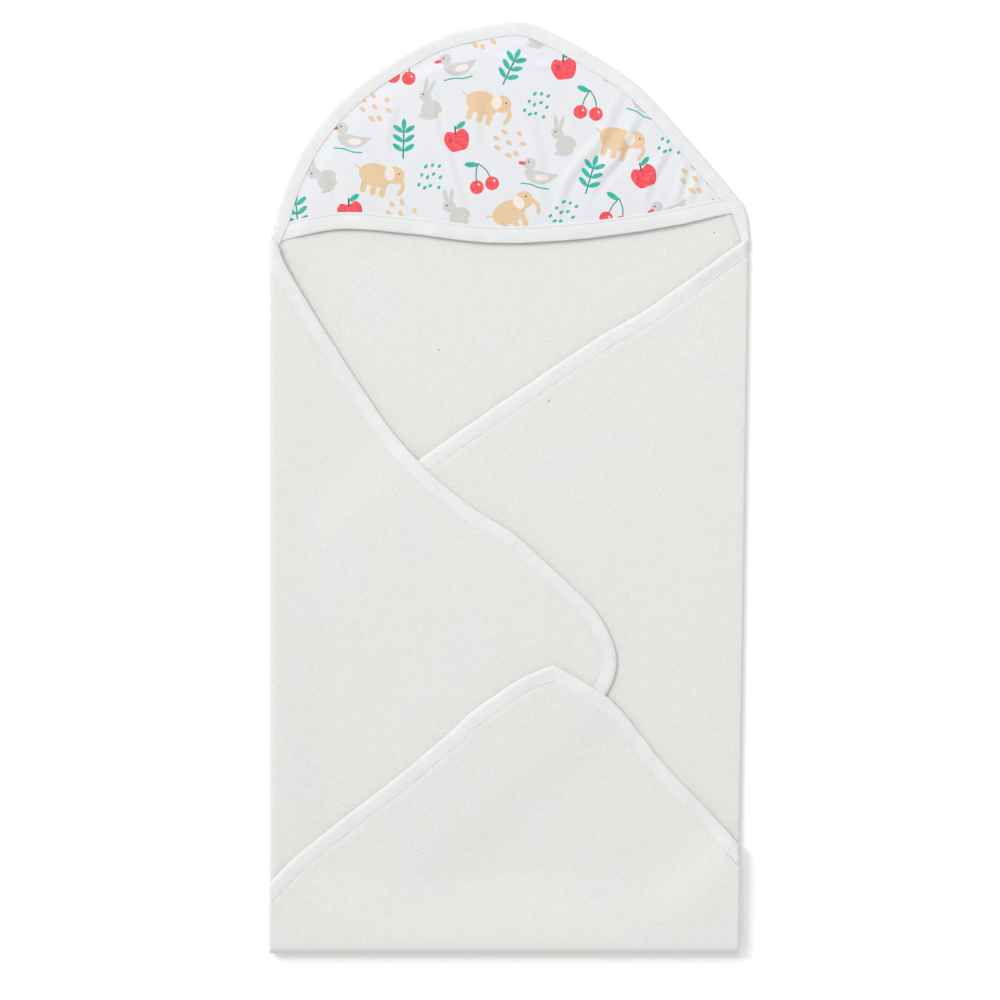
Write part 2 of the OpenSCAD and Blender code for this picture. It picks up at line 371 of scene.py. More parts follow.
@dataclass
class FoldedTowel:
    """The towel's outline, fold lines and leaves, worked out from the frame."""

    joints: dict
    half: Array
    cloth: Cloth
    step: float = 3 * MM
    leaves: dict = field(default_factory=dict)

    @classmethod
    def from_frame(cls) -> "FoldedTowel":
        """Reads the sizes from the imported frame."""
        joints = {j["name"]: j for j in frame["joints"]}
        low, high = (np.array(v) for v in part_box("towel_centre"))
        thick = high[2] - low[2]
        right_axis_z = joints["right_fold"]["pos_m"][2]
        pitch = 2 * right_axis_z - thick
        box = np.array([list(CAD_BOX[0]), list(CAD_BOX[1])])
        return cls(joints, (box[1] - box[0])[:2] / 2, Cloth(thick, pitch))

    def __post_init__(self) -> None:
        """Works out the fold lines and the outline of each flap."""
        left = self.joints["left_fold"]["pos_m"]
        right = self.joints["right_fold"]
        bottom = self.joints["bottom_fold"]["pos_m"]
        self.neck_y = self.joints["crown_tilt"]["pos_m"][1]
        self.left_x, self.bottom_y = left[0], bottom[1]
        axis = np.array(right["axis"][:2])
        self.right_along = axis / np.linalg.norm(axis)
        self.right_point = np.array(right["pos_m"][:2])
        self.left_corner = np.array([self.left_x, self.bottom_y])
        self.right_corner = self.right_at(self.bottom_y)
        self.tip_corner = self.left_corner - (self.joints["left_fold"]["pos_m"][2] - right["pos_m"][2], 0)
        self.outlines()
        self.make_leaves()

    def right_at(self, y: float) -> Array:
        """The point of the right fold line at a height up the towel."""
        along = self.right_along
        return self.right_point + along * ((y - self.right_point[1]) / along[1])

    def outlines(self) -> None:
        """Lays out the bound edges of the folded towel, each a smooth curve."""
        half_w, half_l = self.half / MM
        lx, by = self.left_x / MM, self.bottom_y / MM
        top = self.neck_y / MM - 1
        tip_x = self.tip_corner[0] / MM
        self.crown_edge = smooth_path(
            mm(
                (-half_w + 0.5, top + 1), (-197, 251), (-172, 303), (-130, 347), (-73, 383),
                (-33, 396), (0, half_l), (22, 398), (65, 376), (110, 346), (151, 302),
                (188, 259), (203, 238), (half_w - 0.5, top + 1),
            ),
            self.step,
        )
        self.mouth_edge = smooth_path(
            mm(
                (-200, 211), (-172, 218), (-140, 222), (-88, 218), (-16, 210), (57, 213),
                (131, 223), (178, 233), (196, 236),
            ),
            self.step,
        )
        self.left_edge = smooth_path(
            mm(
                (lx, top + 6), (-199.5, top + 1), (-193, 190), (-163, 140), (-108, 56), (-69, 12),
                (-34, -17), (5, -42),
                (40, -74), (74, -108), (91, -145), (83, -178), (55, -208), (-20, -280),
                (-144, by),
            ),
            self.step,
        )
        right_top = self.right_at(self.neck_y + 6 * MM) / MM
        self.right_edge = smooth_path(
            mm(
                (118, by + 3), (-80, -176), (-150, -96), (-165, -66), (-163, -42), (-140, -20),
                (-81, 22), (-9, 72), (68, 124), (112, 150), (150, 176), (190, 204.5), tuple(right_top),
            ),
            self.step,
        )
        self.peak = mm((37, -153))[0]
        right_end = tuple(self.right_at(-306 * MM) / MM)
        self.bottom_left_edge = smooth_path(
            mm(
                (tip_x, -338), (-184, -317), (-140, -282), (-96, -248), (-57, -215), (-33, -193),
                (8, -165), (37, -153),
            ),
            self.step,
        )
        self.bottom_right_edge = smooth_path(
            mm((37, -153), (72, -173), (96, -193), (131, -237), (170, -278), right_end),
            self.step,
        )
        turned = math.pi * self.cloth.pitch / 2 / MM
        self.left_tip_edge = resample(mm((tip_x, -338 - turned), (-144, by)), self.step)
        right_tip_end = tuple(self.right_at((-306 - turned) * MM) / MM)
        self.right_tip_edge = resample(mm((118, by), right_tip_end), self.step)

    def folds(self) -> dict:
        """The five fold lines, each with its turned edge."""
        cloth = self.cloth
        z = {name: j["pos_m"][2] for name, j in self.joints.items()}
        x_axis, y_axis = np.array([1.0, 0.0]), np.array([0.0, 1.0])
        right_in = np.array([-self.right_along[1], self.right_along[0]])
        half = cloth.thick / 2
        return {
            "left": Fold(self.left_corner, y_axis, x_axis, z["left_fold"], z["left_fold"] - half),
            "right": Fold(
                self.right_corner, self.right_along, right_in, z["right_fold"], z["right_fold"] - half
            ),
            "bottom": Fold(
                self.tip_corner, x_axis, y_axis, z["bottom_fold"], z["bottom_fold"] - half
            ),
            "left_tip": Fold(
                self.tip_corner, y_axis, x_axis, z["left_tip_fold"], cloth.pitch / 2, -1.0
            ),
            "right_tip": Fold(
                self.right_corner, self.right_along, right_in, z["right_tip_fold"],
                cloth.pitch / 2, -1.0,
            ),
        }

    def flap_outline(self, name: str) -> Array:
        """The outline of a folded flap on the plane."""
        corner = {"left": self.left_corner, "right": self.right_corner}
        if name in corner:
            edge = self.left_edge if name == "left" else self.right_edge
            return np.vstack([edge, corner[name]])
        if name == "bottom":
            edge = np.vstack([self.bottom_left_edge, self.bottom_right_edge[1:]])
            return np.vstack([edge, self.right_corner, self.tip_corner])
        edge = self.left_tip_edge if name == "left_tip" else self.right_tip_edge
        return np.vstack([edge, self.tip_corner if name == "left_tip" else self.right_corner])

    def make_leaves(self) -> None:
        """Works out how each leaf lies on the layers under it."""
        cloth, folds = self.cloth, self.folds()
        low, high = -self.half - 12 * MM, self.half + 12 * MM

        def heights(levels: Iterable[tuple[str, int]], start: Layer, rounds: int) -> HeightMap:
            """The height of the uppermost of the layers, smoothed over its steps."""
            grid = HeightMap(low, high)
            layers = np.full(len(grid.places), float(start.value))
            for name, value in levels:
                under = inside(self.flap_outline(name), grid.places)
                layers = np.where(under, np.maximum(layers + 1, value), layers)
            grid.values = ((layers - 1) * cloth.pitch + cloth.thick / 2).reshape(grid.shape)
            grid.settle(2, rounds)
            return grid

        on_left = heights([("right", 0)], Layer.RIGHT, 14)
        on_bottom = heights(
            [("right", 0), ("left", 0), ("left_tip", 5), ("right_tip", 5)], Layer.RIGHT, 18
        )

        def near(fold: Fold, reach: float, xy: Array) -> Array:
            """One at a fold, falling to nothing within a reach of it."""
            return 1 - ease(0, reach, (xy - fold.corner) @ fold.inward)

        def lie_left(xy: Array) -> Array:
            """The height at which the left flap lies."""
            hold = near(folds["left"], 55 * MM, xy)
            soft = 0.5 * MM * (1 + ripple(xy, 0.13, 3)) * (1 - hold)
            return on_left.at(xy) * (1 - hold) + cloth.middle(Layer.LEFT.value) * hold + soft

        def lie_right(xy: Array) -> Array:
            """The height at which the right flap lies."""
            hold = near(folds["right"], 40 * MM, xy)
            soft = 0.4 * MM * (1 + ripple(xy, 0.15, 5)) * (1 - hold)
            return cloth.middle(Layer.RIGHT.value) + soft

        def lie_bottom(xy: Array) -> Array:
            """The height at which the bottom flap lies."""
            hold = near(folds["bottom"], 70 * MM, xy)
            for name in ("left_tip", "right_tip"):
                below = 1 - ease(-0.345, -0.300, xy[:, 1])
                hold = np.maximum(hold, near(folds[name], 30 * MM, xy) * below)
            soft = 0.5 * MM * (1 + ripple(xy, 0.12, 7)) * (1 - hold)
            return on_bottom.at(xy) * (1 - hold) + cloth.middle(Layer.BOTTOM.value) * hold + soft

        def lie_tip(xy: Array) -> Array:
            """The height at which a tip lies."""
            return np.full(len(xy), cloth.middle(Layer.TIP.value))

        def lie_centre(xy: Array) -> Array:
            """The height at which the centre lies."""
            return np.full(len(xy), cloth.thick / 2)

        self.leaves = {
            "centre": Leaf("centre", None, lie_centre),
            "left": Leaf("left", folds["left"], lie_left),
            "right": Leaf("right", folds["right"], lie_right),
            "bottom": Leaf("bottom", folds["bottom"], lie_bottom),
            "left_tip": Leaf("left_tip", folds["left_tip"], lie_tip),
            "right_tip": Leaf("right_tip", folds["right_tip"], lie_tip),
        }


# ---------------------------------------------------------------- meshes


def new_object(
    name: str, verts: Array, faces: Sequence[Sequence[int]], merge: bool = False
) -> bpy.types.Object:
    """Makes a closed, smooth piece with its faces pointing outwards.

    Args:
        name: The piece's name.
        verts: Its points.
        faces: Its faces, as numbers of points.
        merge: Whether points that fall together are joined.

    Returns:
        The piece.
    """
    mesh = bpy.data.meshes.new(name)
    mesh.from_pydata([tuple(v) for v in verts], [], [tuple(f) for f in faces])
    work = bmesh.new()
    work.from_mesh(mesh)
    if merge:
        bmesh.ops.remove_doubles(work, verts=work.verts, dist=0.02 * MM)
    bmesh.ops.recalc_face_normals(work, faces=work.faces)
    work.to_mesh(mesh)
    work.free()
    mesh.shade_smooth()
    mesh.set_sharp_from_angle(angle=math.radians(50))
    mesh.validate()
    piece = bpy.data.objects.new(name, mesh)
    bpy.context.collection.objects.link(piece)
    return piece


def triangulate(outline: Array, spacing: float, lines: Sequence[Array] = ()) -> tuple[Array, Array]:
    """Fills an outline with even triangles.

    Args:
        outline: The corners of a closed outline.
        spacing: About how long the triangles' sides are.
        lines: Closed outlines inside it that the triangles' edges follow.

    Returns:
        The points and the triangles.
    """
    edge = resample(np.vstack([outline, outline[:1]]), spacing)[:-1]
    order = edge_with_corners(edge, outline)
    low, high = outline.min(axis=0), outline.max(axis=0)
    rows = int((high[1] - low[1]) / (spacing * 0.866)) + 1
    cols = int((high[0] - low[0]) / spacing) + 2
    grid = np.array(
        [
            (low[0] + (c + 0.5 * (r % 2)) * spacing, low[1] + r * spacing * 0.866)
            for r in range(rows)
            for c in range(cols)
        ]
    )
    grid = grid[inside(order, grid)]
    grid = grid[distance_to(np.vstack([order, order[:1]]), grid) > spacing * 0.55]
    if len(lines):
        crowd = np.vstack(lines)
        near = np.array([np.abs(crowd - g).max(axis=1).min() for g in grid])
        grid = grid[near > spacing * 0.12]
    points, edges = [order], [(i, (i + 1) % len(order)) for i in range(len(order))]
    count = len(order)
    for line in lines:
        points.append(line)
        edges += [(count + i, count + (i + 1) % len(line)) for i in range(len(line))]
        count += len(line)
    points = np.vstack([*points, grid])
    done = delaunay_2d_cdt([Vector(p) for p in points * 1000], edges, [], 0, 1e-5, False)
    verts = np.array([tuple(v) for v in done[0]]) / 1000
    tris = np.array([f for f in done[2] if len(f) == 3])
    tris = tris[inside(order, verts[tris].mean(axis=1))]
    used, index = np.unique(tris, return_inverse=True)
    return verts[used], index.reshape(tris.shape)


def edge_with_corners(edge: Array, outline: Array) -> Array:
    """An outline walked in even steps, with its sharp corners kept exactly."""
    closed = np.vstack([outline, outline[:1]])
    back = closed[:-1] - np.vstack([outline[-1:], outline[:-1]])
    ahead = closed[1:] - closed[:-1]
    cosine = (back * ahead).sum(axis=1) / (
        np.linalg.norm(back, axis=1) * np.linalg.norm(ahead, axis=1) + 1e-15
    )
    sharp = np.flatnonzero(cosine < math.cos(math.radians(18)))
    if len(sharp) < 2:
        return edge
    spacing = np.linalg.norm(edge[1] - edge[0])
    out = []
    for a, b in zip(sharp, np.roll(sharp, -1)):
        span = [(a + k) % len(outline) for k in range((b - a) % len(outline) + 1)]
        out.append(resample(outline[span], spacing)[:-1])
    return np.vstack(out)


def shell(
    name: str, leaf: Leaf, uv: Array, tris: Array, top: Array | float, under: Array | float
) -> bpy.types.Object:
    """A closed sheet of cloth over a flat cut.

    Args:
        name: The piece's name.
        leaf: How the cut lies in the folded towel.
        uv: The cut's points.
        tris: The cut's triangles.
        top: How far the upper face is off the middle of the cloth.
        under: How far the lower face is off it, on the other side.

    Returns:
        The piece.
    """
    count = len(uv)
    verts = np.vstack([leaf.place(uv, top), leaf.place(uv, -np.asarray(under))])
    sides = np.sort(np.vstack([tris[:, [0, 1]], tris[:, [1, 2]], tris[:, [2, 0]]]), axis=1)
    sides, seen = np.unique(sides, axis=0, return_counts=True)
    rim = sides[seen == 1]
    faces = [tuple(t) for t in tris]
    faces += [tuple(t[::-1] + count) for t in tris]
    faces += [(a, b, b + count, a + count) for a, b in rim]
    return new_object(name, verts, faces)


def sweep(
    name: str,
    leaf: Leaf,
    path: Array,
    profile: Array,
    wobble: float = 0.0,
    seed: int = 0,
    trims: Sequence[tuple[Array, Array]] = (),
    shape: Callable[[Array, Array, Array], Array] | None = None,
    narrow: Array | float = 1.0,
) -> bpy.types.Object:
    """A strip with a closed section that follows a path over a leaf.

    Args:
        name: The piece's name.
        leaf: The leaf that the strip is sewn to.
        path: The strip's outer edge on the flat cut, with the cloth to its right.
        profile: The section: how far in from the edge, and how far off the cloth's middle.
        wobble: How far the strip wanders and swells, as a share.
        seed: Fixes the wandering.
        trims: Points and outward directions: the strip is cut off past each point that way.
        shape: Changes the lifts, given the flat places, the distances in and the lifts.
        narrow: The share of the section's width that shows at each point of the path.

    Returns:
        The piece.
    """
    side = right_normals(path)
    count, ring = len(path), len(profile)
    swell = 1 + wobble * ripple(path, 16 * MM, seed, 6)
    drift = wobble * 1.6 * MM * ripple(path, 34 * MM, seed + 1, 4)
    across = np.tile(profile[:, 0], (count, 1)) * np.broadcast_to(narrow, (count,))[:, None]
    uv = (path[:, None, :] + side[:, None, :] * (across + drift[:, None])[..., None]).reshape(-1, 2)
    lift = (profile[None, :, 1] * swell[:, None]).reshape(-1)
    ahead = np.repeat(np.stack([-side[:, 1], side[:, 0]], axis=1), ring, axis=0)
    for point, way in trims:
        past = np.maximum((uv - point) @ way, 0)
        slope = ahead @ way
        slide = np.abs(slope) > 0.2
        step = np.where(slide[:, None], ahead / np.where(slide, slope, 1)[:, None], way)
        uv = uv - past[:, None] * step
    if shape is not None:
        lift = shape(uv, across.reshape(-1), lift)
    verts = leaf.place(uv, lift)
    faces = []
    for i in range(count - 1):
        for j in range(ring):
            k = (j + 1) % ring
            faces.append((i * ring + j, i * ring + k, (i + 1) * ring + k, (i + 1) * ring + j))
    faces.append(tuple(range(ring)))
    faces.append(tuple(range((count - 1) * ring, count * ring))[::-1])
    return new_object(name, verts, faces, merge=True)


def binding_profile(cloth: Cloth, top: float, under: float) -> Array:
    """The section of a folded binding: a C that wraps the cloth's edge."""
    w, t = cloth.bind, cloth.bind_cloth
    seam = w - cloth.thread_in
    return np.array(
        [
            (w, top - 0.62 * t),
            (w - 0.1 * MM, top - 0.1 * t),
            (w - 0.6 * MM, top + 0.15 * t),
            (seam, top - 0.4 * t),
            (seam - 1.5 * MM, top + 0.1 * t),
            (w * 0.58, top + 0.3 * t),
            (w * 0.5, top + 0.02 * t),
            (w * 0.42, top + 0.32 * t),
            (w * 0.24, top + 0.1 * t),
            (w * 0.08, top - 0.8 * t),
            (0.15 * MM, (top - under) * 0.35 + 0.2 * MM),
            (0.0, (top - under) * 0.2),
            (0.15 * MM, -0.45 * MM),
            (w * 0.08, -under + 0.7 * t),
            (w * 0.25, -under + 0.1 * t),
            (w * 0.6, -under),
            (w, -under + 0.1 * t),
            (w, -under + t),
            (w * 0.3, -under + 1.2 * t),
            (w * 0.14, 0.0),
            (w * 0.3, top - 1.2 * t),
            (w * 0.8, top - 1.25 * t),
        ]
    )


# ---------------------------------------------------------------- riding and baking in place


def bend_between(piece: bpy.types.Object, share: Array) -> None:
    """Bakes a piece's placement into its mesh; it does not make the piece bend between two bodies.

    A straight blend would spread the turn along a line. A turned edge spreads it along its own arc,
    and a sewn panel spreads it in from its seam, so the shares are set point by point.

    Args:
        piece: The finished piece.
        share: Not used.
    """
    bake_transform(piece)


def points_of(piece: bpy.types.Object) -> Array:
    """The vertices of a piece, as an array."""
    out = np.empty(len(piece.data.vertices) * 3)
    piece.data.vertices.foreach_get("co", out)
    return out.reshape(-1, 3)


def ride_leaf(piece: bpy.types.Object, leaf: Leaf) -> None:
    """Lets a piece that lies wholly on a flap turn with it; a piece that reaches round the fold is only
    baked in place.
    """
    share = leaf.turn(points_of(piece))
    if share.min() >= 1:
        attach(piece, leaf.name)
    else:
        bend_between(piece, share)


def paint_crease_shade(piece: bpy.types.Object, edges: Sequence[Array]) -> None:
    """Paints warm shade on the terry: notes how near each point is to the edge of a layer that lies on it,
    where the painted shade is strongest.
    """
    points = points_of(piece)
    near = np.zeros(len(points))
    for edge in edges:
        near = np.maximum(near, np.exp(-distance_to(edge, points[:, :2]) / (7 * MM)))
    # stores the strength of the painted warm shade, which falls off away from each overlying edge
    layer = piece.data.attributes.new("Crease", "FLOAT", "POINT")
    layer.data.foreach_set("value", near.astype(np.float32))


# ---------------------------------------------------------------- finishes


def linear(red: float, green: float, blue: float) -> tuple[float, float, float, float]:
    """A colour given from 0 to 255 as the eye sees it, as the shader wants it."""
    def one(value: float) -> float:
        """One channel, from 0 to 255, as linear light."""
        v = value / 255
        return v / 12.92 if v <= 0.04045 else ((v + 0.055) / 1.055) ** 2.4
    return (one(red), one(green), one(blue), 1.0)


class Groups:
    """Shader node groups that more than one finish uses, each built once."""

    made: dict[str, bpy.types.NodeTree] = {}

    @classmethod
    def start(
        cls, name: str, ins: Sequence[tuple[str, str, float]], outs: Sequence[tuple[str, str]]
    ) -> tuple[bpy.types.NodeTree, bpy.types.Node, bpy.types.Node]:
        """Starts a group with named sockets."""
        tree = bpy.data.node_groups.new(name, "ShaderNodeTree")
        for label, kind, value in ins:
            socket = tree.interface.new_socket(label, in_out="INPUT", socket_type=kind)
            if kind == "NodeSocketFloat":
                socket.default_value = value
        for label, kind in outs:
            tree.interface.new_socket(label, in_out="OUTPUT", socket_type=kind)
        cls.made[name] = tree
        return tree, tree.nodes.new("NodeGroupInput"), tree.nodes.new("NodeGroupOutput")

    @classmethod
    def pile(cls) -> bpy.types.NodeTree:
        """Short looped pile: a height for its loops, and a painted shade that is darker between them,
        mixed with random tone from the clumps.
        """
        if "Looped pile" in cls.made:
            return cls.made["Looped pile"]
        tree, start, end = cls.start(
            "Looped pile",
            [
                ("Vector", "NodeSocketVector", 0),
                ("Loops", "NodeSocketFloat", 650),
                ("Clumps", "NodeSocketFloat", 120),
            ],
            [("Height", "NodeSocketFloat"), ("Shade", "NodeSocketFloat")],
        )
        n, link = tree.nodes, tree.links
        loops = n.new("ShaderNodeTexVoronoi")
        loops.feature = "SMOOTH_F1"
        loops.inputs["Smoothness"].default_value = 0.6
        loops.inputs["Randomness"].default_value = 0.9
        warp = n.new("ShaderNodeTexNoise")
        warp.inputs["Detail"].default_value = 3
        clumps = n.new("ShaderNodeTexNoise")
        clumps.inputs["Detail"].default_value = 4
        clumps.inputs["Roughness"].default_value = 0.65
        both = n.new("ShaderNodeMath")
        both.operation = "MULTIPLY_ADD"
        both.inputs[1].default_value = -0.9
        link.new(start.outputs["Vector"], loops.inputs["Vector"])
        link.new(start.outputs["Loops"], loops.inputs["Scale"])
        link.new(start.outputs["Vector"], clumps.inputs["Vector"])
        link.new(start.outputs["Clumps"], clumps.inputs["Scale"])
        link.new(start.outputs["Vector"], warp.inputs["Vector"])
        link.new(start.outputs["Loops"], warp.inputs["Scale"])
        link.new(loops.outputs["Distance"], both.inputs[0])
        add = n.new("ShaderNodeMath")
        add.operation = "ADD"
        link.new(clumps.outputs["Fac"], add.inputs[0])
        link.new(warp.outputs["Fac"], add.inputs[1])
        link.new(add.outputs[0], both.inputs[2])
        link.new(both.outputs[0], end.inputs["Height"])
        # painted shade: darker where the loops sink, lighter on their tops, with random tone from the
        # clumps
        shade = n.new("ShaderNodeMapRange")
        shade.inputs["From Min"].default_value = 0.25
        shade.inputs["From Max"].default_value = 1.15
        link.new(both.outputs[0], shade.inputs["Value"])
        link.new(shade.outputs["Result"], end.inputs["Shade"])
        return tree

    @classmethod
    def knit(cls) -> bpy.types.NodeTree:
        """Fine jersey knit: rows of loops, as a height."""
        if "Jersey knit" in cls.made:
            return cls.made["Jersey knit"]
        tree, start, end = cls.start(
            "Jersey knit",
            [
                ("Vector", "NodeSocketVector", 0),
                ("Wales", "NodeSocketFloat", 260),
                ("Courses", "NodeSocketFloat", 330),
                ("Fuzz", "NodeSocketFloat", 0.5),
            ],
            [("Height", "NodeSocketFloat")],
        )
        n, link = tree.nodes, tree.links
        waves = []
        for direction, label in (("X", "Wales"), ("Y", "Courses")):
            wave = n.new("ShaderNodeTexWave")
            wave.bands_direction = direction
            wave.inputs["Distortion"].default_value = 0.6
            wave.inputs["Detail"].default_value = 1
            link.new(start.outputs["Vector"], wave.inputs["Vector"])
            link.new(start.outputs[label], wave.inputs["Scale"])
            waves.append(wave)
        product = n.new("ShaderNodeMath")
        product.operation = "MULTIPLY"
        link.new(waves[0].outputs["Fac"], product.inputs[0])
        link.new(waves[1].outputs["Fac"], product.inputs[1])
        fuzz = n.new("ShaderNodeTexNoise")
        fuzz.inputs["Scale"].default_value = 900
        fuzz.inputs["Detail"].default_value = 3
        link.new(start.outputs["Vector"], fuzz.inputs["Vector"])
        both = n.new("ShaderNodeMath")
        both.operation = "MULTIPLY_ADD"
        link.new(fuzz.outputs["Fac"], both.inputs[0])
        link.new(start.outputs["Fuzz"], both.inputs[1])
        link.new(product.outputs[0], both.inputs[2])
        link.new(both.outputs[0], end.inputs["Height"])
        return tree

    @classmethod
    def stain(cls) -> bpy.types.NodeTree:
        """Soft uneven colour: how much of a second tone shows at a place."""
        if "Soft mottle" in cls.made:
            return cls.made["Soft mottle"]
        tree, start, end = cls.start(
            "Soft mottle",
            [
                ("Vector", "NodeSocketVector", 0),
                ("Scale", "NodeSocketFloat", 14),
                ("Threshold", "NodeSocketFloat", 0.45),
                ("Softness", "NodeSocketFloat", 0.3),
            ],
            [("Amount", "NodeSocketFloat")],
        )
        n, link = tree.nodes, tree.links
        noise = n.new("ShaderNodeTexNoise")
        noise.inputs["Detail"].default_value = 5
        noise.inputs["Roughness"].default_value = 0.6
        link.new(start.outputs["Vector"], noise.inputs["Vector"])
        link.new(start.outputs["Scale"], noise.inputs["Scale"])
        top = n.new("ShaderNodeMath")
        top.operation = "ADD"
        link.new(start.outputs["Threshold"], top.inputs[0])
        link.new(start.outputs["Softness"], top.inputs[1])
        ramp = n.new("ShaderNodeMapRange")
        link.new(noise.outputs["Fac"], ramp.inputs["Value"])
        link.new(start.outputs["Threshold"], ramp.inputs["From Min"])
        link.new(top.outputs[0], ramp.inputs["From Max"])
        link.new(ramp.outputs["Result"], end.inputs["Amount"])
        return tree


def blank_material(name: str) -> tuple[bpy.types.Material, bpy.types.Node]:
    """A new material and its Principled shader."""
    material = bpy.data.materials.new(name)
    material.use_nodes = True
    return material, material.node_tree.nodes["Principled BSDF"]


def mix_colours(
    tree: bpy.types.NodeTree,
    amount: bpy.types.NodeSocket,
    low: tuple | bpy.types.NodeSocket,
    high: tuple | bpy.types.NodeSocket,
) -> bpy.types.NodeSocket:
    """Mixes two colours by an amount, and gives the mixed colour's socket."""
    mix = tree.nodes.new("ShaderNodeMix")
    mix.data_type = "RGBA"
    tree.links.new(amount, mix.inputs["Factor"])
    for socket, value in ((mix.inputs["A"], low), (mix.inputs["B"], high)):
        target = [s for s in mix.inputs if s.name == socket.name and s.type == "RGBA"][0]
        if isinstance(value, tuple):
            target.default_value = value
        else:
            tree.links.new(value, target)
    return [s for s in mix.outputs if s.type == "RGBA"][0]


def add_group(
    tree: bpy.types.NodeTree, group: bpy.types.NodeTree, vector: bpy.types.NodeSocket, **values: float
) -> bpy.types.Node:
    """Places a node group, fed with a vector and its own values."""
    node = tree.nodes.new("ShaderNodeGroup")
    node.node_tree = group
    tree.links.new(vector, node.inputs["Vector"])
    for label, value in values.items():
        node.inputs[label].default_value = value
    return node


def scaled(tree: bpy.types.NodeTree, value: bpy.types.NodeSocket, by: float) -> bpy.types.NodeSocket:
    """A value times a number."""
    node = tree.nodes.new("ShaderNodeMath")
    node.operation = "MULTIPLY"
    node.inputs[1].default_value = by
    tree.links.new(value, node.inputs[0])
    return node.outputs[0]


def bump_from(
    tree: bpy.types.NodeTree, height: bpy.types.NodeSocket, distance: float, strength: float
) -> bpy.types.NodeSocket:
    """A bump of the given height, and its normal's socket."""
    bump = tree.nodes.new("ShaderNodeBump")
    bump.inputs["Distance"].default_value = distance
    bump.inputs["Strength"].default_value = strength
    tree.links.new(height, bump.inputs["Height"])
    return bump.outputs["Normal"]


@dataclass(frozen=True)
class TerryFinish:
    """Cream terry with a short looped pile, painted shade between its loops, painted warm shade where
    other layers lie on it, and a few specks of lint.
    """

    name: str = "Cream terry"
    high: tuple = linear(222, 222, 220)
    low: tuple = linear(214, 213, 211)
    warm: tuple = linear(219, 216, 209)
    # painted warm shade, strongest along the edges of the layers that lie on the terry
    crease: tuple = linear(212, 204, 191)
    lint: tuple = linear(150, 104, 118)
    specks: tuple = ((175.5, 219.0), (33.0, 74.0), (-62.0, 118.0))

    def build(self) -> bpy.types.Material:
        """Makes the material."""
        material, shader = blank_material(self.name)
        tree = material.node_tree
        place = tree.nodes.new("ShaderNodeTexCoord").outputs["Object"]
        pile = add_group(tree, Groups.pile(), place, Loops=620, Clumps=150)
        # painted shade between the loops, mixed with random tone
        colour = mix_colours(tree, pile.outputs["Shade"], self.low, self.high)
        mottle = add_group(tree, Groups.stain(), place, Scale=9, Threshold=0.42, Softness=0.3)
        colour = mix_colours(tree, scaled(tree, mottle.outputs["Amount"], 0.3), colour, self.warm)
        # painted warm shade, read from the attribute that marks the edges of overlying layers
        crease = tree.nodes.new("ShaderNodeAttribute")
        crease.attribute_name = "Crease"
        colour = mix_colours(tree, scaled(tree, crease.outputs["Fac"], 0.3), colour, self.crease)
        for x, y in self.specks:
            colour = mix_colours(tree, self.speck(tree, place, x * MM, y * MM), colour, self.lint)
        tree.links.new(colour, shader.inputs["Base Color"])
        tree.links.new(
            bump_from(tree, pile.outputs["Height"], 0.8 * MM, 0.3), shader.inputs["Normal"]
        )
        shader.inputs["Roughness"].default_value = 0.95
        shader.inputs["Specular IOR Level"].default_value = 0.15
        shader.inputs["Sheen Weight"].default_value = 0.2
        shader.inputs["Sheen Roughness"].default_value = 0.6
        return material

    def speck(
        self, tree: bpy.types.NodeTree, place: bpy.types.NodeSocket, x: float, y: float
    ) -> bpy.types.NodeSocket:
        """A mask for one speck of lint at a place."""
        flat = tree.nodes.new("ShaderNodeVectorMath")
        flat.operation = "MULTIPLY"
        flat.inputs[1].default_value = (1, 1, 0)
        tree.links.new(place, flat.inputs[0])
        gap = tree.nodes.new("ShaderNodeVectorMath")
        gap.operation = "DISTANCE"
        gap.inputs[1].default_value = (x, y, 0)
        tree.links.new(flat.outputs["Vector"], gap.inputs[0])
        mask = tree.nodes.new("ShaderNodeMapRange")
        mask.inputs["From Min"].default_value = 0.9 * MM
        mask.inputs["From Max"].default_value = 0.4 * MM
        tree.links.new(gap.outputs["Value"], mask.inputs["Value"])
        return mask.outputs["Result"]


@dataclass(frozen=True)
class JerseyFinish:
    """Cool white jersey, with a trace of the print behind it."""

    name: str = "White jersey"
    base: tuple = linear(222, 223, 223)
    shade: tuple = linear(216, 218, 219)
    blush: tuple = linear(222, 207, 206)
    ghost: float = 0.35

    def build(self) -> bpy.types.Material:
        """Makes the material."""
        material, shader = blank_material(self.name)
        tree = material.node_tree
        place = tree.nodes.new("ShaderNodeTexCoord").outputs["Object"]
        knit = add_group(tree, Groups.knit(), place, Wales=260, Courses=330, Fuzz=0.6)
        mottle = add_group(tree, Groups.stain(), place, Scale=60, Threshold=0.4, Softness=0.3)
        colour = mix_colours(tree, mottle.outputs["Amount"], self.base, self.shade)
        trace = add_group(tree, Groups.stain(), place, Scale=22, Threshold=0.6, Softness=0.08)
        colour = mix_colours(tree, scaled(tree, trace.outputs["Amount"], self.ghost), colour, self.blush)
        tree.links.new(colour, shader.inputs["Base Color"])
        tree.links.new(
            bump_from(tree, knit.outputs["Height"], 0.12 * MM, 0.5), shader.inputs["Normal"]
        )
        shader.inputs["Roughness"].default_value = 0.85
        shader.inputs["Specular IOR Level"].default_value = 0.2
        shader.inputs["Sheen Weight"].default_value = 0.15
        return material


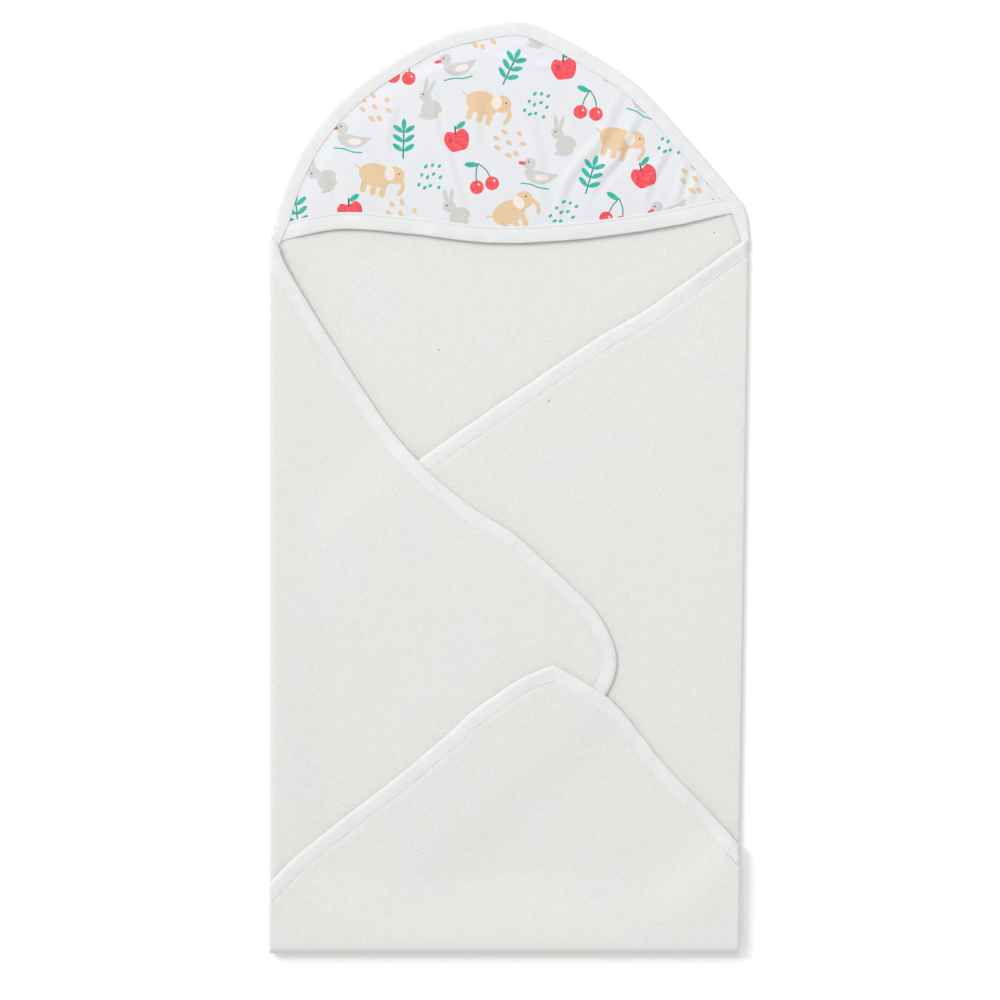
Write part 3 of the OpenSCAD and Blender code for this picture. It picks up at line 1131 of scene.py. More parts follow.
@dataclass(frozen=True)
class PrintFinish:
    """White jersey that takes the colours printed on it from the piece."""

    name: str = "Printed jersey"
    attribute: str = "Print"

    def build(self) -> bpy.types.Material:
        """Makes the material."""
        material, shader = blank_material(self.name)
        tree = material.node_tree
        place = tree.nodes.new("ShaderNodeTexCoord").outputs["Object"]
        printed = tree.nodes.new("ShaderNodeAttribute")
        printed.attribute_name = self.attribute
        knit = add_group(tree, Groups.knit(), place, Wales=260, Courses=330, Fuzz=0.6)
        wear = add_group(tree, Groups.stain(), place, Scale=420, Threshold=0.42, Softness=0.5)
        worn = scaled(tree, wear.outputs["Amount"], 0.22)
        colour = mix_colours(tree, worn, printed.outputs["Color"], Ink.GROUND.value)
        tree.links.new(colour, shader.inputs["Base Color"])
        tree.links.new(
            bump_from(tree, knit.outputs["Height"], 0.12 * MM, 0.5), shader.inputs["Normal"]
        )
        shader.inputs["Roughness"].default_value = 0.85
        shader.inputs["Specular IOR Level"].default_value = 0.2
        shader.inputs["Sheen Weight"].default_value = 0.15
        return material


@dataclass(frozen=True)
class ThreadFinish:
    """White sewing thread with a slight lustre, and painted shade in the grooves of its twist."""

    name: str = "Sewing thread"
    base: tuple = linear(240, 241, 240)
    # painted shade in the grooves of the twist
    twist: tuple = linear(222, 225, 226)

    def build(self) -> bpy.types.Material:
        """Makes the material."""
        material, shader = blank_material(self.name)
        tree = material.node_tree
        place = tree.nodes.new("ShaderNodeTexCoord").outputs["Object"]
        twist = tree.nodes.new("ShaderNodeTexWave")
        twist.bands_direction = "DIAGONAL"
        twist.inputs["Scale"].default_value = 900
        tree.links.new(place, twist.inputs["Vector"])
        # painted shade: darker where the twist's bump sinks
        colour = mix_colours(tree, twist.outputs["Fac"], self.twist, self.base)
        tree.links.new(colour, shader.inputs["Base Color"])
        tree.links.new(
            bump_from(tree, twist.outputs["Fac"], 0.05 * MM, 0.6), shader.inputs["Normal"]
        )
        shader.inputs["Roughness"].default_value = 0.55
        return material


class Ink(Enum):
    """Colours of the hood's cloth and print."""

    GROUND = linear(218, 219, 223)
    CORAL = linear(230, 72, 80)
    DEEP_CORAL = linear(206, 58, 66)
    TEAL = linear(30, 172, 150)
    DEEP_TEAL = linear(24, 140, 124)
    TAN = linear(218, 188, 150)
    GREY = linear(196, 196, 193)
    CHARCOAL = linear(78, 78, 78)
    CHALK = linear(228, 220, 210)


# ---------------------------------------------------------------- the printed pattern


@dataclass(frozen=True)
class Shape:
    """One flat patch of ink, with its outline in metres."""

    outline: Array
    ink: Ink


def ellipse(x: float, y: float, rx: float, ry: float, turn: float = 0, steps: int = 20) -> Array:
    """The outline of an ellipse, in millimetres and degrees."""
    a = np.linspace(0, 2 * math.pi, steps, endpoint=False)
    c, s = math.cos(math.radians(turn)), math.sin(math.radians(turn))
    px, py = rx * np.cos(a), ry * np.sin(a)
    return np.stack([x + px * c - py * s, y + px * s + py * c], axis=1)


def stroke(points: Sequence[Point], width: float, steps: int = 4) -> Array:
    """The outline of a brush stroke through the points, in millimetres."""
    path = np.array(points, float)
    if len(path) > 2:
        path = smooth_path(path, 1.4)
    side = right_normals(path) * width / 2
    ahead = np.stack([-side[:, 1], side[:, 0]], axis=1)
    fan = np.linspace(0, math.pi, steps + 2)[1:-1]
    end = [path[-1] + side[-1] * math.cos(f) + ahead[-1] * math.sin(f) for f in fan]
    start = [path[0] - side[0] * math.cos(f) - ahead[0] * math.sin(f) for f in fan]
    return np.vstack([path + side, end, (path - side)[::-1], start])


def blob(*points: Point) -> Array:
    """A smooth closed outline through the points, in millimetres."""
    return closed_path(np.array(points, float), 5)


class Motifs:
    """The small pictures that the pattern repeats. Each is drawn about its own middle."""

    @staticmethod
    def elephant() -> list[Shape]:
        """An elephant made of plain rounds, with a pale ear."""
        legs = [Shape(stroke([(x, -5), (x, -14)], 5.0), Ink.TAN) for x in (-8, 0, 9)]
        return [
            *legs,
            Shape(ellipse(1, 1, 15, 10), Ink.TAN),
            Shape(ellipse(-15, 5, 8, 7.5), Ink.TAN),
            Shape(stroke([(-20, 4), (-24, -3), (-22, -10)], 3.6), Ink.TAN),
            Shape(stroke([(15, 3), (20, 5)], 1.4), Ink.TAN),
            Shape(ellipse(-10, 5, 4.4, 6, -10), Ink.CHALK),
            Shape(ellipse(-18, 7, 0.8, 0.8, 0, 8), Ink.CHARCOAL),
        ]

    @staticmethod
    def duck() -> list[Shape]:
        """A duck on the water."""
        return [
            Shape(blob((-12, 2), (-6, -5), (5, -6), (13, 0), (17, 6), (8, 5), (-4, 5)), Ink.GREY),
            Shape(ellipse(-9, 9, 5.4, 5.2), Ink.GREY),
            Shape(ellipse(-15.5, 8, 3.4, 1.6, 8, 14), Ink.CORAL),
            Shape(ellipse(4, 0, 6, 2.8, 12), Ink.CHALK),
            Shape(ellipse(-10.5, 10.5, 0.8, 0.8, 0, 8), Ink.CHARCOAL),
            Shape(stroke([(-12, -9), (-4, -8), (4, -9), (12, -8)], 1.2), Ink.TEAL),
        ]

    @staticmethod
    def hare() -> list[Shape]:
        """A sitting hare."""
        return [
            Shape(ellipse(2, -4, 9, 8.5, 20), Ink.GREY),
            Shape(ellipse(-6, 6, 5.6, 5.0, -15), Ink.GREY),
            Shape(ellipse(-3, 15, 1.9, 6.5, -12, 16), Ink.GREY),
            Shape(ellipse(-8, 15, 1.9, 6.5, 6, 16), Ink.GREY),
            Shape(ellipse(11.5, -7, 3, 3, 0, 14), Ink.CHALK),
            Shape(stroke([(-6, -11.5), (3, -12)], 3.0), Ink.GREY),
            Shape(ellipse(-8, 7, 0.8, 0.8, 0, 8), Ink.CHARCOAL),
        ]

    @staticmethod
    def cherries() -> list[Shape]:
        """Two cherries on one stalk."""
        return [
            Shape(stroke([(-6, -4), (-3, 5), (3, 12)], 1.1), Ink.DEEP_TEAL),
            Shape(stroke([(7, -5), (6, 4), (3, 12)], 1.1), Ink.DEEP_TEAL),
            Shape(ellipse(9, 12, 5.6, 2.4, 12, 16), Ink.TEAL),
            Shape(ellipse(-6, -7, 6, 6), Ink.CORAL),
            Shape(ellipse(7.5, -8, 6, 6), Ink.CORAL),
            Shape(ellipse(-8, -5, 1.3, 0.8, 40, 8), Ink.CHALK),
            Shape(ellipse(5.5, -6, 1.3, 0.8, 40, 8), Ink.CHALK),
        ]

    @staticmethod
    def apple() -> list[Shape]:
        """An apple with one leaf."""
        skin = blob((0, 7), (7, 9), (11, 2), (7, -8), (0, -9), (-7, -8), (-11, 2), (-7, 9))
        return [
            Shape(skin, Ink.CORAL),
            Shape(stroke([(0, 6), (1, 12)], 1.4), Ink.CHARCOAL),
            Shape(ellipse(6, 12, 5, 2.2, 25, 16), Ink.TEAL),
            Shape(ellipse(-5, 2, 1.4, 3.2, -15, 12), Ink.DEEP_CORAL),
        ]

    @staticmethod
    def sprig() -> list[Shape]:
        """A straight stalk with pairs of leaves."""
        shapes = [Shape(stroke([(0, -15), (0, 10)], 1.4), Ink.DEEP_TEAL)]
        for y in (-9, -1, 7):
            shapes.append(Shape(ellipse(-5, y + 3, 5.2, 2.1, -35, 16), Ink.TEAL))
            shapes.append(Shape(ellipse(5, y + 3, 5.2, 2.1, 35, 16), Ink.TEAL))
        shapes.append(Shape(ellipse(0, 14, 2.1, 5, 0, 16), Ink.TEAL))
        return shapes

    @staticmethod
    def specks(ink: Ink, size: float, spread: float, count: int, seed: int) -> list[Shape]:
        """A loose group of small ovals.

        Args:
            ink: Their colour.
            size: The length of an oval.
            spread: The radius of the group.
            count: How many there are.
            seed: Fixes where they are.

        Returns:
            The ovals.
        """
        draw = np.random.default_rng(seed)
        kept: list[Array] = []
        apart = spread * 1.5 / math.sqrt(count)
        for _ in range(40 * count):
            p = draw.uniform(-spread, spread, 2)
            apart *= 0.995
            if np.linalg.norm(p) < spread and all(np.linalg.norm(p - q) > apart for q in kept):
                kept.append(p)
            if len(kept) == count:
                break
        ovals = []
        for x, y in kept:
            length, turn = size * draw.uniform(0.42, 0.58), 35 + draw.uniform(-15, 15)
            ovals.append(Shape(ellipse(x, y, length, size * 0.32, turn, 10), ink))
        return ovals


def place_shapes(
    shapes: Iterable[Shape], x: float, y: float, turn: float, scale: float, flip: bool = False
) -> list[Shape]:
    """Puts a motif on the cloth: its middle in millimetres, its turn in degrees, and its scale."""
    c, s = math.cos(math.radians(turn)) * scale, math.sin(math.radians(turn)) * scale
    spin = np.array([[-1.0 if flip else 1.0, 0], [0, 1]]) @ np.array([[c, s], [-s, c]])
    return [Shape((shape.outline @ spin + (x, y)) * MM, shape.ink) for shape in shapes]


def hood_pattern() -> list[Shape]:
    """The whole pattern: even rows of motifs, each row half a step on from the one below it."""
    m = Motifs
    cast = (
        m.elephant(), m.specks(Ink.TEAL, 4.0, 12, 11, 14), m.cherries(), m.duck(), m.sprig(),
        m.apple(), m.specks(Ink.TAN, 6.0, 13, 8, 16), m.hare(),
    )
    step, rise, low, rows, reach = 46.0, 31.0, 236.0, 6, 5
    draw = np.random.default_rng(21)
    shapes: list[Shape] = []
    for row in range(rows):
        for column in range(-reach, reach + 1):
            place = ((column + 0.5 * (row % 2)) * step, low + row * rise)
            turn = float(draw.uniform(-26, 26))
            motif = cast[(column + 3 * row) % len(cast)]
            shapes += place_shapes(motif, *place, turn, 1.0, flip=(row + column) % 2 == 0)
    return shapes


# ---------------------------------------------------------------- stitches


class StitchTree:
    """A Geometry Nodes tree that lays stitches along a line."""

    def __init__(self) -> None:
        """Builds the tree once."""
        tree = bpy.data.node_groups.new("Stitch row", "GeometryNodeTree")
        face = tree.interface
        face.new_socket("Geometry", in_out="INPUT", socket_type="NodeSocketGeometry")
        self.sockets = {}
        for label, value in (("Spacing", 3.0 * MM), ("Length", 2.3 * MM), ("Width", 0.5 * MM)):
            socket = face.new_socket(label, in_out="INPUT", socket_type="NodeSocketFloat")
            socket.default_value = value
            self.sockets[label] = socket.identifier
        thread = face.new_socket("Thread", in_out="INPUT", socket_type="NodeSocketMaterial")
        self.sockets["Thread"] = thread.identifier
        face.new_socket("Geometry", in_out="OUTPUT", socket_type="NodeSocketGeometry")
        n, link = tree.nodes, tree.links
        start, end = n.new("NodeGroupInput"), n.new("NodeGroupOutput")
        line = n.new("GeometryNodeMeshToCurve")
        dots = n.new("GeometryNodeCurveToPoints")
        dots.mode = "LENGTH"
        ball = n.new("GeometryNodeMeshUVSphere")
        ball.inputs["Segments"].default_value = 6
        ball.inputs["Rings"].default_value = 5
        ball.inputs["Radius"].default_value = 0.5
        size = n.new("ShaderNodeCombineXYZ")
        aim = n.new("FunctionNodeAlignRotationToVector")
        aim.axis = "X"
        put = n.new("GeometryNodeInstanceOnPoints")
        real = n.new("GeometryNodeRealizeInstances")
        smooth = n.new("GeometryNodeSetShadeSmooth")
        dress = n.new("GeometryNodeSetMaterial")
        link.new(start.outputs["Geometry"], line.inputs["Mesh"])
        link.new(line.outputs["Curve"], dots.inputs["Curve"])
        link.new(start.outputs["Spacing"], dots.inputs["Length"])
        link.new(start.outputs["Length"], size.inputs["X"])
        link.new(start.outputs["Width"], size.inputs["Y"])
        link.new(start.outputs["Width"], size.inputs["Z"])
        link.new(dots.outputs["Tangent"], aim.inputs["Vector"])
        link.new(dots.outputs["Points"], put.inputs["Points"])
        link.new(ball.outputs["Mesh"], put.inputs["Instance"])
        link.new(aim.outputs["Rotation"], put.inputs["Rotation"])
        link.new(size.outputs["Vector"], put.inputs["Scale"])
        link.new(put.outputs["Instances"], real.inputs["Geometry"])
        link.new(real.outputs["Geometry"], smooth.inputs["Geometry"])
        link.new(smooth.outputs["Geometry"], dress.inputs["Geometry"])
        link.new(start.outputs["Thread"], dress.inputs["Material"])
        link.new(dress.outputs["Geometry"], end.inputs["Geometry"])
        self.tree = tree

    def sew(self, name: str, lines: Sequence[Array], thread: bpy.types.Material) -> bpy.types.Object:
        """Lays stitches along lines in space.

        Args:
            name: The piece's name.
            lines: Each line's points.
            thread: The thread's material.

        Returns:
            The stitches, as one plain mesh.
        """
        verts, edges = [], []
        for line in lines:
            edges += [(len(verts) + k, len(verts) + k + 1) for k in range(len(line) - 1)]
            verts += [tuple(p) for p in line]
        mesh = bpy.data.meshes.new(name + " line")
        mesh.from_pydata(verts, edges, [])
        guide = bpy.data.objects.new(name + " line", mesh)
        bpy.context.collection.objects.link(guide)
        modifier = guide.modifiers.new("Stitches", "NODES")
        modifier.node_group = self.tree
        modifier[self.sockets["Thread"]] = thread
        graph = bpy.context.evaluated_depsgraph_get()
        done = bpy.data.meshes.new_from_object(guide.evaluated_get(graph))
        done.name = name
        piece = bpy.data.objects.new(name, done)
        bpy.context.collection.objects.link(piece)
        guide.modifiers.clear()
        bpy.data.objects.remove(guide)
        return piece


# ---------------------------------------------------------------- sub-assemblies


@dataclass
class Finishes:
    """Every finish of the towel, built once."""

    terry: bpy.types.Material
    jersey: bpy.types.Material
    printed: bpy.types.Material
    thread: bpy.types.Material

    @classmethod
    def build(cls) -> "Finishes":
        """Makes the materials."""
        return cls(
            TerryFinish().build(), JerseyFinish().build(), PrintFinish().build(), ThreadFinish().build()
        )


@dataclass
class BoundLeaf:
    """A leaf of terry with its binding and stitches."""

    towel: FoldedTowel
    finishes: Finishes
    stitches: StitchTree
    name: str
    nodes: dict[str, tuple[str, ...]]
    turn_rows: int = 10

    @property
    def leaf(self) -> Leaf:
        """How this leaf lies."""
        return self.towel.leaves[self.name]

    def edge(self) -> list[Array]:
        """The bound edges of the leaf on the folded towel's plane."""
        t = self.towel
        return {
            "left": [t.left_edge],
            "right": [t.right_edge],
            "bottom": [t.bottom_left_edge, t.bottom_right_edge],
            "left_tip": [t.left_tip_edge],
            "right_tip": [t.right_tip_edge],
        }[self.name]

    def cut(self) -> Array:
        """The outline of the flat cut, up to the fold line."""
        return self.leaf.flat(self.towel.flap_outline(self.name))

    def add_turn(self, uv: Array, tris: Array) -> tuple[Array, Array]:
        """Adds the strip of cloth that goes round the turned edge, in even rows."""
        fold = self.leaf.fold
        line = np.flatnonzero(np.abs(uv[:, 0]) < 0.01 * MM)
        line = line[np.argsort(uv[line, 1])]
        run = uv[line, 1]
        middle, widen = (run[0] + run[-1]) / 2, 0.0
        if self.name == "bottom":
            widen = 2 * (fold.radius / 2 - self.towel.cloth.pitch / 2 + 1.2 * MM) / (run[-1] - run[0])
        rows, points, last = [], [uv], line
        for k in range(1, self.turn_rows + 1):
            phi = math.pi * k / self.turn_rows
            v = middle + (run - middle) * (1 + widen * math.sin(phi))
            here = np.arange(len(line)) + len(uv) + (k - 1) * len(line)
            points.append(np.column_stack([np.full(len(line), -fold.radius * phi), v]))
            rows.append(np.stack([last[:-1], last[1:], here[1:]], axis=1))
            rows.append(np.stack([last[:-1], here[1:], here[:-1]], axis=1))
            last = here
        return np.vstack(points), np.vstack([tris, *rows])

    def bound_paths(self) -> list[Array]:
        """The bound edges on the flat cut, carried round a turned edge or run past a crease."""
        run_on = 18 * MM

        def carry(path: Array, at_start: bool) -> Array:
            """Carries one end of an edge on round the turned edge."""
            turned = self.leaf.fold.turned()
            ends = path if at_start else path[::-1]
            lean = (ends[0] - ends[2]) / max(abs((ends[0] - ends[2])[0]), 1e-6)
            rise = lean[1] * turned
            if "tip" not in self.name:
                rise = np.clip(rise, -6 * MM, 6 * MM)
            tail = np.linspace(1, 0.1, 7)[:, None] * np.array([[-turned, rise]])
            out = np.vstack([ends[:1] + tail, ends])
            return out if at_start else out[::-1]

        def extend(path: Array, at_start: bool) -> Array:
            """Runs one end of an edge on in a straight line."""
            ends = path if at_start else path[::-1]
            way = (ends[0] - ends[1]) / np.linalg.norm(ends[0] - ends[1])
            out = np.vstack([ends[:1] + run_on * way, ends])
            return out if at_start else out[::-1]

        plan = {
            "left": [(carry, extend)],
            "right": [(extend, carry)],
            "bottom": [(extend, None), (None, extend)],
            "left_tip": [(carry, extend)],
            "right_tip": [(extend, carry)],
        }[self.name]
        out = []
        for edge, (first, last) in zip(self.edge(), plan):
            path = self.leaf.flat(edge)
            path = first(path, True) if first else path
            path = last(path, False) if last else path
            out.append(resample(path, 2.6 * MM))
        return out

    def creases(self, part: int) -> list[tuple[Array, Array]]:
        """Where a stretch of binding is cut off by the creases that it runs into."""
        t, fold = self.towel, self.leaf.fold

        def plane(point: Array, way: Array) -> tuple[Array, Array]:
            """A cutting plane in the flat cut, as a point and a direction."""
            return fold.flat(point[None])[0], np.array([way @ fold.inward, way @ fold.along])

        if self.name != "bottom":
            return [plane(t.left_corner, np.array([0.0, -1.0]))]
        if part == 0:
            return [plane(t.tip_corner, np.array([-1.0, 0.0])), self.mitre(part)]
        along = t.right_along
        return [plane(t.right_corner, np.array([along[1], -along[0]])), self.mitre(part)]

    def towards_cloth(self, path: Array) -> Array:
        """The path, turned round where that puts the cloth to its right."""
        side = right_normals(path)
        probe = path[len(path) // 2] + side[len(path) // 2] * 3 * MM
        return path if inside(self.cut(), probe[None])[0] else path[::-1]

    def build(self) -> list[bpy.types.Object]:
        """Makes the terry, the binding and the stitches of the leaf."""
        cloth, leaf = self.towel.cloth, self.leaf
        outline = self.cut()
        uv, tris = self.add_turn(*triangulate(outline, cloth.spacing))
        paths = [self.towards_cloth(p) for p in self.bound_paths()]
        near = np.min([distance_to(p, uv) for p in paths], axis=0)
        half = self.pile_height(near, uv)
        inset = np.maximum(0.7 * MM - near, 0)
        uv = self.pull_in(uv, paths, inset)
        terry = shell(f"{self.name}_terry", leaf, uv, tris, half, half)
        terry.data.materials.append(self.finishes.terry)
        # painted warm shade along the edges of the layers that lie on this leaf
        paint_crease_shade(terry, self.covering_edges())
        ride_leaf(terry, leaf)
        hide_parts(*self.nodes["terry"])
        extras = self.bind(paths) + self.sew(paths)
        LOG.info("%s: terry %d faces, %d trimmings", self.name, len(terry.data.polygons), len(extras))
        return [terry, *extras]

    def covering_edges(self) -> list[Array]:
        """The edges of the layers that lie on this leaf."""
        t = self.towel
        bottom = [t.bottom_left_edge, t.bottom_right_edge]
        return {"left": bottom, "right": [t.left_edge, *bottom]}.get(self.name, [])

    def pile_height(self, near: Array, uv: Array) -> Array:
        """Half the terry's thickness: thin under the binding, with a soft shoulder beside it."""
        cloth = self.towel.cloth
        thin = 0.55 * MM
        full = cloth.thick / 2
        grow = ease(cloth.bind - 1.6 * MM, cloth.bind + 2.4 * MM, near)
        shoulder = 0.22 * MM * np.exp(-(((near - cloth.bind - 4 * MM) / (4 * MM)) ** 2))
        return thin + (full - thin) * grow + shoulder

    def pull_in(self, uv: Array, paths: list[Array], amount: Array) -> Array:
        """Moves the terry's rim a little inside its binding."""
        out = uv.copy()
        for path in paths:
            side = right_normals(path)
            for k in np.flatnonzero(amount > 0):
                gap = np.linalg.norm(path - uv[k], axis=1)
                if gap.min() < 3 * MM:
                    out[k] += side[gap.argmin()] * amount[k]
        return out

    def bind(self, paths: list[Array]) -> list[bpy.types.Object]:
        """Folds the binding over each bound edge."""
        cloth = self.towel.cloth
        profile = binding_profile(cloth, cloth.thick / 2, cloth.thick / 2)
        out = []
        nodes = self.nodes["binding"]
        for k, (path, node) in enumerate(zip(paths, nodes)):
            shape = self.roll(path) if self.name == "right" else None
            trims = self.creases(k)
            piece = sweep(f"{node}_cloth", self.leaf, path, profile, 0.16, 20 + k, trims, shape)
            piece.data.materials.append(self.finishes.jersey)
            ride_leaf(piece, self.leaf)
            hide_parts(node)
            out.append(piece)
        if self.name == "bottom":
            out.append(self.overlap(paths[0], profile))
        return out

    def roll(self, path: Array) -> Callable[[Array, Array, Array], Array]:
        """Rolls the binding's outer edge up near the neck, where the cloth twists over."""
        width = self.towel.cloth.bind

        def shape(uv: Array, across: Array, lift: Array) -> Array:
            """Lifts the binding where it comes round the turned edge."""
            near = ease(95 * MM, 12 * MM, uv[:, 0]) * ease(-4 * MM, 6 * MM, uv[:, 0])
            return lift + near * 1.8 * MM * np.cos(np.clip(across / width, 0, 1) * math.pi / 2) ** 1.5

        return shape

    def mitre(self, part: int) -> tuple[Array, Array]:
        """Where the two stretches of binding meet at the bottom flap's corner."""
        t = self.towel
        point = self.leaf.flat(t.peak[None])[0]
        left = t.bottom_left_edge[-1] - t.bottom_left_edge[-3]
        right = t.bottom_right_edge[2] - t.bottom_right_edge[0]
        way = left / np.linalg.norm(left) + right / np.linalg.norm(right)
        way = self.leaf.fold.flat(way[None] + self.leaf.fold.corner)[0]
        way /= np.linalg.norm(way)
        return point, (way if part == 0 else -way)

    def overlap(self, path: Array, profile: Array) -> bpy.types.Object:
        """The short stretch where the binding's end is folded under and laid over its start."""
        place = self.leaf.flat(mm((27, -157)))[0]
        at = int(np.linalg.norm(path - place, axis=1).argmin())
        span = path[max(at - 3, 0) : at + 3]
        fat = profile * np.array([1.0, 1.18])
        fat[:, 0] = fat[:, 0] * 1.03 - 0.15 * MM
        piece = sweep("binding_overlap_cloth", self.leaf, resample(span, 1.2 * MM), fat, 0.04, 31)
        piece.data.materials.append(self.finishes.jersey)
        ride_leaf(piece, self.leaf)
        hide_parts("bottom_binding_overlap")
        return piece

    def sew(self, paths: list[Array]) -> list[bpy.types.Object]:
        """Runs a row of stitches near the binding's inner edge."""
        if "stitching" not in self.nodes:
            return []
        cloth = self.towel.cloth
        lines = []
        for path in paths:
            side = right_normals(path)
            row = path + side * (cloth.bind - cloth.thread_in)
            keep = distance_to(path, row) > (cloth.bind - cloth.thread_in) * 0.98
            keep &= inside(self.cut(), row)
            lines.append(self.leaf.place(row[keep], cloth.thick / 2 - 0.02 * MM))
        piece = self.stitches.sew(f"{self.name}_stitches", lines, self.finishes.thread)
        ride_leaf(piece, self.leaf)
        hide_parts(*self.nodes["stitching"])
        return [piece]


@dataclass
class Centre:
    """The middle of the towel and its top corner, with the crown's binding."""

    towel: FoldedTowel
    finishes: Finishes
    stitches: StitchTree
    neck_bend: float = 12 * MM
    twist: float = 30 * MM
    twist_share: float = 0.42

    def bend_at_neck(self, piece: bpy.types.Object) -> None:
        """Bakes a piece's placement into its mesh; it does not bend where the crown tilts up."""
        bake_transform(piece)

    def build(self) -> list[bpy.types.Object]:
        """Makes the terry, the crown's binding and its stitches."""
        t, cloth = self.towel, self.towel.cloth
        leaf = t.leaves["centre"]
        crown = t.crown_edge
        outline = np.vstack(
            [
                t.left_corner, (t.left_x, t.neck_y - MM), crown, t.right_at(t.neck_y - MM),
                t.right_corner,
            ]
        )
        uv, tris = triangulate(outline, cloth.spacing)
        near = distance_to(crown, uv)
        thin, full = 0.55 * MM, cloth.thick / 2
        half = thin + (full - thin) * ease(cloth.bind - 1.6 * MM, cloth.bind + 2.4 * MM, near)
        below = uv[:, 1] < t.neck_y
        half = np.where(below, full, half)
        terry = shell("centre_terry", leaf, uv, tris, half, half)
        terry.data.materials.append(self.finishes.terry)
        # painted warm shade under the flaps' edges and under the hood's front band
        paint_crease_shade(terry, [t.left_edge, t.right_edge, t.mouth_edge])
        self.bend_at_neck(terry)
        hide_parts("towel_centre", "crown_terry")
        profile = binding_profile(cloth, 2.1 * MM, cloth.thick / 2)
        path = resample(crown, 2.6 * MM)
        turning = 1 - ease(t.neck_y + self.twist, t.neck_y, path[:, 1]) * self.twist_share
        binding = sweep("crown_binding_cloth", leaf, path, profile, 0.13, 41, narrow=turning)
        binding.data.materials.append(self.finishes.jersey)
        self.bend_at_neck(binding)
        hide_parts("crown_binding")
        side = right_normals(path)
        row = leaf.place(path + side * ((cloth.bind - cloth.thread_in) * turning[:, None]), 2.0 * MM)
        thread = self.stitches.sew("crown_stitches", [row], self.finishes.thread)
        self.bend_at_neck(thread)
        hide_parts("crown_stitching")
        LOG.info("centre: terry %d faces", len(terry.data.polygons))
        return [terry, binding, thread]


